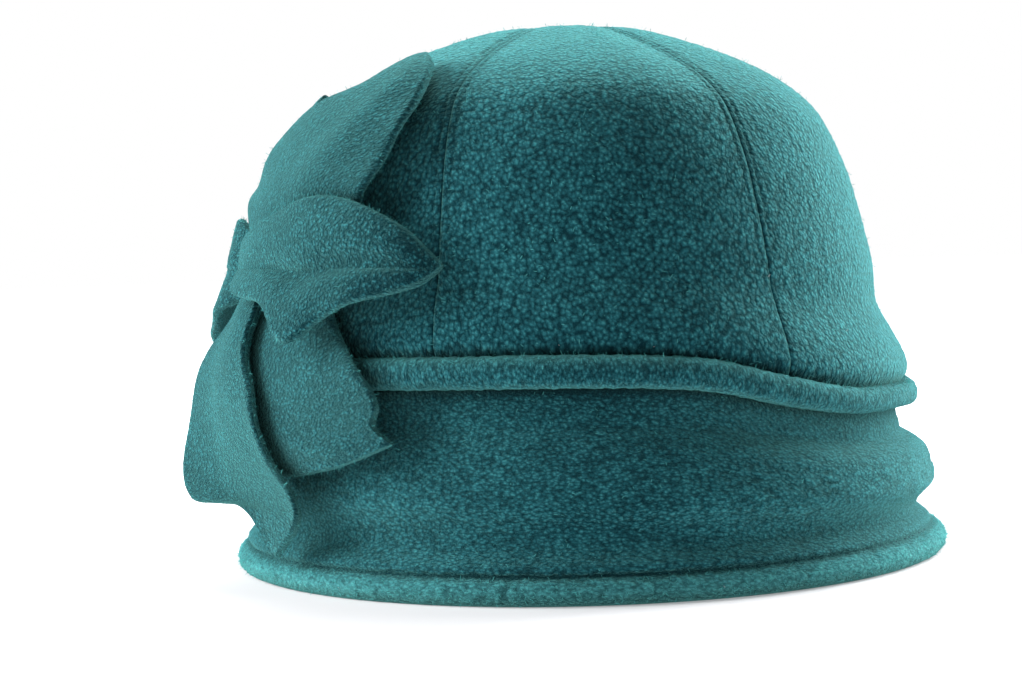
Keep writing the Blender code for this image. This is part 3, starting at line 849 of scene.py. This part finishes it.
def pile_tree():
    """Pushes each point out by its clump; keeps the pile's height, with painted light and shade added."""
    inputs = dict.fromkeys(("Clump size", "Relief", "Crumple", "Wrinkle depth"), "Float")
    tree, given = new_tree("raise_the_pile", inputs)
    kinds = {"cloth": "FLOAT_VECTOR", "pile_share": "FLOAT", "wrinkle": "FLOAT", "pressed": "FLOAT"}
    cloth, share, wrinkled, pressed = (
        add_node(tree, "GeometryNodeInputNamedAttribute", {"data_type": kind}, Name=label)
        for label, kind in kinds.items()
    )
    clumps = add_node(
        tree, "ShaderNodeVectorMath", {"operation": "DIVIDE"},
        i0=cloth.outputs["Attribute"], i1=given.outputs["Clump size"],
    )
    wander = add_node(
        tree, "ShaderNodeTexNoise", {"noise_dimensions": "3D"}, Vector=clumps, Scale=0.8, Detail=2.0,
    )
    bent = add_node(
        tree, "ShaderNodeVectorMath", {"operation": "MULTIPLY_ADD"},
        i0=wander.outputs["Color"], i1=(CELL_BEND,) * 3, i2=clumps,
    )
    cells = add_node(
        tree, "ShaderNodeTexVoronoi", {"feature": "SMOOTH_F1", "voronoi_dimensions": "3D"},
        Vector=bent, Scale=1.0, Smoothness=0.35, Randomness=0.9,
    )
    dome = add_node(
        tree, "ShaderNodeMapRange", {"interpolation_type": "SMOOTHSTEP"},
        Value=cells.outputs["Distance"], i1=CELL_EDGE, i2=CELL_TOP, i3=0.0, i4=1.0,
    )
    crumple = add_node(
        tree, "ShaderNodeTexNoise", {"noise_dimensions": "3D"},
        Vector=clumps, Scale=CRUMPLE_SCALE, Detail=3.0, Roughness=0.6,
    )
    height = add_node(
        tree, "ShaderNodeMix", {"data_type": "FLOAT"}, i0=given.outputs["Crumple"], i2=dome, i3=crumple,
    )
    standing = add_node(
        tree, "ShaderNodeMath", {"operation": "MULTIPLY"}, i0=height, i1=share.outputs["Attribute"],
    )
    level = add_node(tree, "ShaderNodeMath", {"operation": "SUBTRACT"}, i0=standing, i1=PILE_LEVEL)
    raised = add_node(
        tree, "ShaderNodeMath", {"operation": "MULTIPLY"}, i0=level, i1=given.outputs["Relief"],
    )
    eased = add_node(
        tree, "ShaderNodeMath", {"operation": "MULTIPLY"}, i0=raised, i1=share.outputs["Attribute"],
    )
    stretched = add_node(
        tree, "ShaderNodeVectorMath", {"operation": "MULTIPLY"}, i0=cloth.outputs["Attribute"],
        i1=(1 / WRINKLE_LENGTH, 1 / WRINKLE_LENGTH, 1 / WRINKLE_WIDTH),
    )
    streaks = add_node(
        tree, "ShaderNodeTexNoise", {"noise_dimensions": "3D"},
        Vector=stretched, Scale=1.0, Detail=1.0, Distortion=0.4,
    )
    centred = add_node(tree, "ShaderNodeMath", {"operation": "SUBTRACT"}, i0=streaks, i1=0.5)
    streak = add_node(
        tree, "ShaderNodeMath", {"operation": "MULTIPLY"}, i0=centred, i1=wrinkled.outputs["Attribute"],
    )
    offset = add_node(
        tree, "ShaderNodeMath", {"operation": "MULTIPLY_ADD"},
        i0=streak, i1=given.outputs["Wrinkle depth"], i2=eased,
    )
    normal = add_node(tree, "GeometryNodeInputNormal")
    push = add_node(tree, "ShaderNodeVectorMath", {"operation": "SCALE"}, i0=normal, Scale=offset)
    streaked = add_node(
        tree, "ShaderNodeMath", {"operation": "MULTIPLY_ADD"}, i0=streak, i1=STREAK_SHADE, i2=standing,
    )
    pile_with_painted_shade = add_node(
        tree, "ShaderNodeMath", {"operation": "MULTIPLY_ADD"},
        i0=pressed.outputs["Attribute"], i1=PAINTED_GROOVE_DARKNESS, i2=streaked,
    )
    kept = add_node(
        tree, "GeometryNodeStoreNamedAttribute", {"data_type": "FLOAT", "domain": "POINT"},
        Geometry=given.outputs["Geometry"], Name="pile", Value=pile_with_painted_shade,
    )
    moved = add_node(tree, "GeometryNodeSetPosition", Geometry=kept, Offset=push)
    return finish_tree(tree, given, moved)


# %% Running a tree on a piece


def grow(piece, tree, inputs):
    """Runs a tree on a piece and keeps the result as the piece's own plain mesh."""
    modifier = piece.modifiers.new(tree.name, "NODES")
    modifier.node_group = tree
    for item in tree.interface.items_tree:
        if item.item_type == "SOCKET" and item.in_out == "INPUT" and item.name in inputs:
            modifier[item.identifier] = inputs[item.name]
    evaluated = piece.evaluated_get(bpy.context.evaluated_depsgraph_get())
    mesh = bpy.data.meshes.new_from_object(evaluated)
    piece.modifiers.remove(modifier)
    piece.data = mesh
    mesh.name = piece.name
    return piece


# %% [markdown]
# ## Teal fleece
#
# Polyester microfleece, piece-dyed teal, brushed and sheared. It has no gloss: light sinks
# into the pile and comes back soft, and the fibre ends that stand up catch it at grazing
# angles, which gives every edge of the hat its mint rim, with painted rim light added at the
# edges. The shader is a rough cloth with a strong sheen. Its colour follows the pile's height,
# with painted shade in the gaps and grooves and painted light on the tips, a slow drift where
# the nap lies differently, and single fibres too fine to model, which are also in the bump.
# Cloth in nooks is darkened with painted shade.

# %% Colours and measures of the fleece


def linear(hex_colour):
    """An sRGB hex colour as linear red, green, blue and alpha."""
    parts = [int(hex_colour[i:i + 2], 16) / 255 for i in (1, 3, 5)]
    return (*[c / 12.92 if c <= 0.04045 else ((c + 0.055) / 1.055) ** 2.4 for c in parts], 1.0)


# The pile's ramp: gaps between clumps in painted shade, the cloth's own teal, and tips in painted light.
# The mint paints rim light on edges.
PILE_GAP_SHADED = "#08303a"
PILE_MIDDLE = "#23626c"
PILE_TIP_LIT = "#46a0a6"
PAINTED_RIM_MINT = "#74d2d1"
SHEEN_TEAL = "#86e2dc"
NAP_PATCH = 14.0 * MM
# A single fibre is 0.02 mm thick. Tufts of them are drawn this wide, so that they show.
FIBRE_WIDTH = 0.55 * MM
FIBRE_BUMP = 0.55 * MM
# Painted shade darkens cloth down in a nook: how far ambient occlusion looks round, from what
# share of open air to what share it lightens, and how dark the painted shade gets.
PAINTED_SHADE_REACH = 7.0 * MM
PAINTED_SHADE_CLOSED = 0.30
PAINTED_SHADE_OPEN = 0.90
PAINTED_SHADE_DARKEST = 0.20
# How tufts are drawn, and how much the modelled pile and the lie of the nap show in the colour
TUFT_BEND = 1.1
TUFT_EDGE = 0.75
RELIEF_SHOWS = 0.35
NAP_SHOWS = 0.25
SHADE_MIDDLE = 0.3
RIM_LIGHT_FROM = 0.3

# %% A material and its even values


def new_material(name, values):
    """A material, with the values that are the same all over it set on its own shader."""
    material = bpy.data.materials.new(name)
    material.use_nodes = True
    shader = material.node_tree.nodes["Principled BSDF"]
    for label, value in values.items():
        shader.inputs[label].default_value = value
    return material, material.node_tree, shader


# %% Fleece material


def fleece(name, clump_size, clump_share, fibre_share, spread, deeper=0.0):
    """Brushed fleece.

    The shares say how much of its texture is clumps and how much is fibres. A small spread gives
    more contrast, and deeper moves all shades towards the dark.
    """
    cloth_material, tree, shader = new_material(name, {
        "Roughness": 1.0,
        "IOR": 1.45,
        "Specular IOR Level": 0.05,
        "Sheen Weight": 0.75,
        "Sheen Roughness": 0.42,
        "Sheen Tint": linear(SHEEN_TEAL),
    })
    pile, cloth, rim_light_share = (
        add_node(tree, "ShaderNodeAttribute", {"attribute_name": label})
        for label in ("pile", "cloth", "paleness")
    )
    in_clumps = add_node(
        tree, "ShaderNodeVectorMath", {"operation": "SCALE"},
        i0=cloth.outputs["Vector"], Scale=1 / clump_size,
    )
    wander = add_node(tree, "ShaderNodeTexNoise", Vector=in_clumps, Scale=0.9, Detail=2.0)
    bent = add_node(
        tree, "ShaderNodeVectorMath", {"operation": "MULTIPLY_ADD"},
        i0=wander.outputs["Color"], i1=(TUFT_BEND,) * 3, i2=in_clumps,
    )
    cells = add_node(
        tree, "ShaderNodeTexVoronoi", {"feature": "F1"}, Vector=bent, Scale=1.0, Randomness=1.0,
    )
    clump = add_node(tree, "ShaderNodeMapRange", Value=cells.outputs["Distance"], i1=TUFT_EDGE, i2=0.0)
    fibres = add_node(
        tree, "ShaderNodeTexNoise", Vector=cloth.outputs["Vector"],
        Scale=1 / FIBRE_WIDTH, Detail=3.0, Roughness=0.6, Distortion=1.4,
    )
    patches = add_node(
        tree, "ShaderNodeTexNoise", Vector=cloth.outputs["Vector"], Scale=1 / NAP_PATCH, Detail=2.0,
    )
    clumps_up = add_node(tree, "ShaderNodeMath", {"operation": "MULTIPLY"}, i0=clump, i1=clump_share)
    height = add_node(
        tree, "ShaderNodeMath", {"operation": "MULTIPLY_ADD"}, i0=fibres, i1=fibre_share, i2=clumps_up,
    )
    raised = add_node(
        tree, "ShaderNodeMath", {"operation": "MULTIPLY_ADD"},
        i0=pile.outputs["Fac"], i1=RELIEF_SHOWS, i2=height,
    )
    drift = add_node(
        tree, "ShaderNodeMath", {"operation": "MULTIPLY_ADD"}, i0=patches, i1=NAP_SHOWS, i2=raised,
    )
    middle = 0.5 * (clump_share + fibre_share) + SHADE_MIDDLE + deeper
    shade = add_node(tree, "ShaderNodeMapRange", Value=drift, i1=middle - spread, i2=middle + spread)
    ramp = add_node(tree, "ShaderNodeValToRGB", Fac=shade)
    stops = ramp.color_ramp.elements
    stops[0].position, stops[0].color = 0.05, linear(PILE_GAP_SHADED)
    stops[1].position, stops[1].color = 1.0, linear(PILE_TIP_LIT)
    stops.new(0.5).color = linear(PILE_MIDDLE)
    # Painted rim light: where a piece's share says so, the colour is mixed towards mint, most on lighter
    # tips.
    tips = add_node(tree, "ShaderNodeMapRange", Value=shade, i3=RIM_LIGHT_FROM, i4=1.0)
    rim_light_on_tips = add_node(
        tree, "ShaderNodeMath", {"operation": "MULTIPLY"}, i0=rim_light_share.outputs["Fac"], i1=tips,
    )
    colour = add_node(
        tree, "ShaderNodeMix", {"data_type": "RGBA"},
        i0=rim_light_on_tips, i6=ramp.outputs["Color"], i7=linear(PAINTED_RIM_MINT),
    )
    # Painted shade: cloth that ambient occlusion finds in a nook is darkened.
    open_air = add_node(tree, "ShaderNodeAmbientOcclusion", {"samples": 6}, Distance=PAINTED_SHADE_REACH)
    painted_nook_shade = add_node(
        tree, "ShaderNodeMapRange",
        Value=open_air.outputs["AO"], i1=PAINTED_SHADE_CLOSED, i2=PAINTED_SHADE_OPEN, i3=PAINTED_SHADE_DARKEST, i4=1.0,
    )
    colour_in_painted_shade = add_node(
        tree, "ShaderNodeVectorMath", {"operation": "SCALE"}, i0=colour.outputs[2], Scale=painted_nook_shade,
    )
    bump = add_node(tree, "ShaderNodeBump", Height=height, Strength=1.0, Distance=FIBRE_BUMP)
    tree.links.new(colour_in_painted_shade.outputs[0], shader.inputs["Base Color"])
    tree.links.new(bump.outputs[0], shader.inputs["Normal"])
    return cloth_material


# The crown shows the most clumps. The band is brushed softer, and the petals, which are handled
# most, are smooth and a little deeper in colour.
crown_fleece = fleece("teal_clumped_fleece", 1.25 * MM, 0.75, 0.6, 0.46)
band_fleece = fleece("teal_brushed_fleece", 1.25 * MM, 0.65, 0.85, 0.40)
petal_fleece = fleece("teal_smooth_fleece", 1.1 * MM, 0.7, 1.1, 0.27, deeper=0.13)
for made in (crown_fleece, band_fleece, petal_fleece):
    print(made.name, len(made.node_tree.nodes), "nodes")

# %% Raising it on every piece
raise_the_pile = pile_tree()
print("the pile's tree has", len(raise_the_pile.nodes), "nodes")
PILES = {
    "gore": {"Clump size": 2.4 * MM, "Relief": 0.45 * MM, "Crumple": 0.5},
    "rolled": {"Clump size": 2.4 * MM, "Relief": 0.55 * MM, "Crumple": 0.5},
    "side": {"Clump size": 2.4 * MM, "Relief": 0.42 * MM, "Crumple": 0.6, "Wrinkle depth": 1.5 * MM},
    "petal": {"Clump size": 1.8 * MM, "Relief": 0.28 * MM, "Crumple": 0.8},
}
FINISHES = {"gore": crown_fleece, "rolled": band_fleece, "side": band_fleece, "petal": petal_fleece}
for name, piece in pieces.items():
    kind = name.split("_")[0]
    grow(piece, raise_the_pile, {**PILES[kind], "Material": FINISHES[kind]})
    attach(piece, "root")
    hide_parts(name)
print("pile raised on", len(pieces), "pieces")

# %% [markdown]
# ## Stray fibres
#
# A brushed and tumbled edge never ends in a clean line: loose ends of fibre stand off it, curl
# and catch the light. Short curled ribbons are scattered over each piece, thickest where its
# `fringe` share says so, which is along the hem, on top of the welt and at the petals' edges.

# %% One curled fibre
FIBRE_LENGTH = 1.5 * MM
# Drawn thicker than a real fibre, so that it shows.
FIBRE_THICKNESS = 0.13 * MM
FIBRE_TAPER = 0.6
FIBRE_REACH = 0.45
FIBRE_CURL = 2.2
FIBRE_DROOP = 0.42
FIBRE_STEPS = 3


def curled_fibre():
    """A flat ribbon that stands up, leans over and curls, tapering to its end."""
    corners = []
    for step in range(FIBRE_STEPS + 1):
        t = step / FIBRE_STEPS
        half = FIBRE_THICKNESS / 2 * (1.0 - FIBRE_TAPER * t)
        reach = FIBRE_LENGTH * FIBRE_REACH * math.sin(FIBRE_CURL * t)
        rise = FIBRE_LENGTH * (t - FIBRE_DROOP * t**2)
        corners += [(reach, -half, rise), (reach, half, rise)]
    faces = [(2 * k, 2 * k + 1, 2 * k + 3, 2 * k + 2) for k in range(FIBRE_STEPS)]
    mesh = bpy.data.meshes.new("curled_fibre")
    mesh.from_pydata(corners, [], faces)
    return into_scene("curled_fibre", mesh)


# %% The tree that stands the fibres up
FIBRE_TILT = 0.9
SHORTEST = 0.45
LONGEST = 1.25


def fibre_tree():
    """Stands fibres on a piece, thickest where its fringe share is largest."""
    inputs = {"Fibre": "Object", "Most per square metre": "Float", "Seed": "Int"}
    tree, given = new_tree("stand_stray_fibres", inputs)
    fringe = add_node(tree, "GeometryNodeInputNamedAttribute", {"data_type": "FLOAT"}, Name="fringe")
    thick = add_node(
        tree, "ShaderNodeMath", {"operation": "MULTIPLY"},
        i0=fringe.outputs["Attribute"], i1=given.outputs["Most per square metre"],
    )
    roots = add_node(
        tree, "GeometryNodeDistributePointsOnFaces", {"distribute_method": "RANDOM"},
        Mesh=given.outputs["Geometry"], Density=thick, Seed=given.outputs["Seed"],
    )
    turn = add_node(
        tree, "FunctionNodeRandomValue", {"data_type": "FLOAT_VECTOR"},
        i0=(-FIBRE_TILT, -FIBRE_TILT, -math.pi), i1=(FIBRE_TILT, FIBRE_TILT, math.pi),
    )
    turned = add_node(
        tree, "FunctionNodeRotateRotation", {"rotation_space": "LOCAL"},
        i0=roots.outputs["Rotation"], i1=turn,
    )
    long = add_node(tree, "FunctionNodeRandomValue", {"data_type": "FLOAT"}, i2=SHORTEST, i3=LONGEST)
    shape = add_node(tree, "GeometryNodeObjectInfo", Object=given.outputs["Fibre"])
    fibres = add_node(
        tree, "GeometryNodeInstanceOnPoints", Points=roots.outputs["Points"],
        Instance=shape.outputs["Geometry"], Rotation=turned, Scale=long.outputs[1],
    )
    return finish_tree(tree, given, fibres)


def plain_material(name, hex_colour, roughness=1.0, sheen=0.0):
    """One even colour, for fibres and thread too thin to show a texture."""
    return new_material(name, {
        "Base Color": linear(hex_colour),
        "Roughness": roughness,
        "Specular IOR Level": 0.05,
        "Sheen Weight": sheen,
        "Sheen Tint": linear(SHEEN_TEAL),
    })[0]


# %% Scattering the fibres
# A single fibre against the light is much paler than the cloth that it comes from, and a few
# specks of white cotton lint cling to the front.
loose_fibre = plain_material("loose_teal_fibre", "#5cbcbb", sheen=0.6)
white_lint = plain_material("white_lint", "#e6ecec")
MOST_FIBRES = {"gore": 1.2e6, "rolled": 1.2e6, "side": 2.2e6, "petal": 1.6e6}
LINTED = ("gore_front", "gore_front_right", "side_band")
MOST_LINT = 6.0e3
FIRST_LINT_SEED = 40
fibre = curled_fibre()
stand_fibres = fibre_tree()


def scatter(piece, suffix, most, seed, material):
    """Fibres on a copy of a piece, kept as a piece of their own."""
    fuzz = piece.copy()
    fuzz.data = piece.data.copy()
    fuzz.name = f"{piece.name}_{suffix}"
    bpy.context.scene.collection.objects.link(fuzz)
    grow(fuzz, stand_fibres, {
        "Fibre": fibre, "Most per square metre": most, "Seed": seed, "Material": material,
    })
    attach(fuzz, "root")
    print(fuzz.name, len(fuzz.data.polygons), "faces")


for order, (name, piece) in enumerate(pieces.items()):
    scatter(piece, "fibres", MOST_FIBRES[name.split("_")[0]], order, loose_fibre)
for order, name in enumerate(LINTED):
    scatter(pieces[name], "lint", MOST_LINT, FIRST_LINT_SEED + order, white_lint)
bpy.data.objects.remove(fibre)

# %% [markdown]
# ## Stitches
#
# Thread shows as a row of short dashes that sink into the pile: two rows beside each gore seam
# and one row round the top of the hem. The tree cuts a line into even steps and lays one dash on
# each step, turned along the line.

# %% One stitch, and the tree that lays a row of them
STITCH_LENGTH = 2.1 * MM
STITCH_THICKNESS = 0.42 * MM
STITCH_SINK = 0.05 * MM
STITCH_BURIED = 0.5 * MM


def stitch_shape():
    """A stitch as a small ball, drawn out long."""
    mesh = bpy.data.meshes.new("stitch")
    made = bmesh.new()
    bmesh.ops.create_uvsphere(made, u_segments=6, v_segments=4, radius=0.5)
    bmesh.ops.scale(made, verts=made.verts, vec=(STITCH_THICKNESS, STITCH_THICKNESS, STITCH_LENGTH))
    made.to_mesh(mesh)
    made.free()
    mesh.polygons.foreach_set("use_smooth", np.ones(len(mesh.polygons), dtype=bool))
    return into_scene("stitch", mesh)


def stitch_tree():
    """Lays a stitch on each even step of a line."""
    tree, given = new_tree("lay_stitches", {"Stitch": "Object", "Pitch": "Float"})
    line = add_node(tree, "GeometryNodeMeshToCurve", Mesh=given.outputs["Geometry"])
    steps = add_node(
        tree, "GeometryNodeResampleCurve", {"mode": "LENGTH"}, Curve=line, Length=given.outputs["Pitch"],
    )
    along = add_node(tree, "GeometryNodeInputTangent")
    aligned = add_node(tree, "FunctionNodeAlignRotationToVector", {"axis": "Z"}, Vector=along)
    shape = add_node(tree, "GeometryNodeObjectInfo", Object=given.outputs["Stitch"])
    row = add_node(
        tree, "GeometryNodeInstanceOnPoints", Points=steps,
        Instance=shape.outputs["Geometry"], Rotation=aligned,
    )
    return finish_tree(tree, given, row)


# %% The lines that the stitches follow
# Shares of the dome where a row of stitches starts and ends
ROW_START = 0.015
ROW_END = 0.93
ROW_POINTS = 120
ROW_LEAST_RADIUS = 12.0 * MM
HEM_POINTS = 240


def line_piece(name, rows, closed):
    """A piece of loose edges from rows of points."""
    points, edges = [], []
    for row in rows:
        first = len(points)
        points += [tuple(point) for point in row]
        edges += [(k, k + 1) for k in range(first, len(points) - 1)]
        if closed:
            edges.append((len(points) - 1, first))
    mesh = bpy.data.meshes.new(name)
    mesh.from_pydata(points, edges, [])
    return into_scene(name, mesh)


def topstitch_row(seam, side):
    """The line of stitches at one side of a gore seam, down in the pile."""
    along = GORE_POINT * np.linspace(ROW_START, ROW_END, ROW_POINTS)
    radius, height = dome_section(seam, along)
    azimuth = seam + side * np.degrees(TOPSTITCH_AWAY / np.maximum(radius, ROW_LEAST_RADIUS))
    shown = np.clip(arc_lengths(stand(seam, radius, height)) / STITCHES_FADE, STITCHES_LEAST, 1.0)
    sunk = valley(azimuth, along) + TOPSTITCH_DEPTH * shown
    sunk += STITCH_SINK + STITCH_BURIED * (1.0 - shown)
    return stand(azimuth, *inwards(dome_section, azimuth, along, sunk))


def hem_stitch_row():
    """The ring of stitches above the hem's edge."""
    azimuth = np.linspace(0.0, 360.0, HEM_POINTS, endpoint=False)
    down = (band_top(azimuth) - HEM_STITCH_UP) / (band_top(azimuth) - HEM_ROUND)
    radius, height = band_section(azimuth, down)
    return stand(azimuth, radius + hem_swell(height) - STITCH_SINK, height)


# %% Laying the stitches
# Matt polyester sewing thread, a shade darker than the cloth.
sewing_thread = plain_material("teal_sewing_thread", "#123f49", roughness=0.8)
stitch = stitch_shape()
lay_stitches = stitch_tree()
seams = [FIRST_SEAM + k * GORE_SPAN for k in range(len(GORE_NAMES))]
seam_rows = [topstitch_row(seam, side) for seam in seams for side in (-1.0, 1.0)]
lines = (
    line_piece("gore_topstitching", seam_rows, closed=False),
    line_piece("hem_stitching", [hem_stitch_row()], closed=True),
)
for line in lines:
    grow(line, lay_stitches, {"Stitch": stitch, "Pitch": STITCH_PITCH, "Material": sewing_thread})
    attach(line, "root")
    print(line.name, len(line.data.polygons), "faces")
bpy.data.objects.remove(stitch)

# %% [markdown]
# ## The studio
#
# The hat stands in a light tent: a pale table, white all round, a broad light above and behind
# and one at each side, and little light from the front. That leaves the front of the cloth deep
# and lights its top and edges.

# %% The table
# A sheet of opal acrylic, lit from below: it looks white all over, and it lights the hat from
# beneath only close by.
TABLE_HALF = 6.0
TABLE_CORNERS = ((-1, -1), (1, -1), (1, 1), (-1, 1))
# The glow that the camera sees and the one that lights the hat, each from a first distance to a
# second one (m), and with its strength up to the first and from the second on.
GLOWS = {"seen": (0.16, 0.45, 0.30, 1.15), "cast": (0.15, 0.34, 0.60, 0.10)}
table_mesh = bpy.data.meshes.new("pale_table")
corners = [(TABLE_HALF * x, TABLE_HALF * y, 0.0) for x, y in TABLE_CORNERS]
table_mesh.from_pydata(corners, [], [(0, 1, 2, 3)])
light_table, table_tree, surface = new_material("white_light_table", {
    "Base Color": linear("#c4c4c6"),
    "Roughness": 0.9,
    "Specular IOR Level": 0.0,
    "Emission Color": (0.97, 0.98, 1.0, 1.0),
})
looked_at = add_node(table_tree, "ShaderNodeLightPath")
place = add_node(table_tree, "ShaderNodeTexCoord")
away = add_node(table_tree, "ShaderNodeVectorMath", {"operation": "LENGTH"}, i0=place.outputs["Object"])
glows = {}
for use, (start, end, near, far) in GLOWS.items():
    glows[use] = add_node(
        table_tree, "ShaderNodeMapRange", Value=away.outputs["Value"], i1=start, i2=end, i3=near, i4=far,
    )
glowing = add_node(
    table_tree, "ShaderNodeMix", {"data_type": "FLOAT"},
    i0=looked_at.outputs["Is Camera Ray"], i2=glows["cast"], i3=glows["seen"],
)
table_tree.links.new(glowing.outputs[0], surface.inputs["Emission Strength"])
table_mesh.materials.append(light_table)
floor = into_scene("pale_table", table_mesh)
print("the table is", 2 * TABLE_HALF, "m wide")

# %% The lights
LIGHTS_AIM = Vector((0.0, 0.0, 0.07))
# place (m), size (m), power (W)
LIGHTS = {
    "top_back_light": ((0.10, 0.55, 1.00), (1.0, 0.8), 20.5),
    "left_light": ((-0.92, 0.00, 0.48), (0.6, 0.8), 22.0),
    "right_light": ((0.80, 0.62, 0.40), (0.6, 0.8), 35.0),
}
for name, (place, size, power) in LIGHTS.items():
    lamp = bpy.data.lights.new(name, "AREA")
    lamp.shape = "RECTANGLE"
    lamp.size, lamp.size_y = size
    lamp.energy = power
    light = into_scene(name, lamp)
    light.location = place
    light.rotation_euler = (LIGHTS_AIM - Vector(place)).to_track_quat("-Z", "Y").to_euler()
    print(name, power, "W")

# %% The tent
TENT_LIGHT = 0.22
world = bpy.data.worlds.new("light_tent")
bpy.context.scene.world = world
world.use_nodes = True
tent = world.node_tree
white = tent.nodes["Background"]
white.inputs["Color"].default_value = (1.0, 1.0, 1.0, 1.0)
seen = add_node(tent, "ShaderNodeLightPath")
strength = add_node(tent, "ShaderNodeMapRange", Value=seen.outputs["Is Camera Ray"], i3=TENT_LIGHT, i4=1.0)
tent.links.new(strength.outputs[0], white.inputs["Strength"])
print("the tent shows white and lights the hat with", TENT_LIGHT, "of that")

# %% The camera
# Places in the photograph are in pixels, and its camera was found from the hat's outline.
CAMERA_AWAY = 0.70
CAMERA_HEIGHT = 0.095
FOCAL_PIXELS = 2295.0
PHOTO_WIDTH = 1022.0
PHOTO_HEIGHT = 681.0
HORIZON_ROW = 239.7
AXIS_COLUMN = 580.7
ROLL = 2.0
SENSOR_WIDTH = 36.0
lens = bpy.data.cameras.new("photo_camera")
lens.sensor_width = SENSOR_WIDTH
lens.lens = FOCAL_PIXELS * SENSOR_WIDTH / PHOTO_WIDTH
lens.clip_start = 0.01
camera = into_scene("photo_camera", lens)
camera.location = (AXIS.x, AXIS.y - CAMERA_AWAY, CAMERA_HEIGHT)
pitch = math.atan((PHOTO_HEIGHT / 2 - HORIZON_ROW) / FOCAL_PIXELS)
yaw = math.atan((AXIS_COLUMN - PHOTO_WIDTH / 2) / FOCAL_PIXELS)
camera.rotation_euler = (math.pi / 2 - pitch, math.radians(ROLL), yaw)
bpy.context.scene.camera = camera
bpy.context.scene.view_settings.view_transform = "Standard"
print("the lens is", round(lens.lens, 1), "mm")
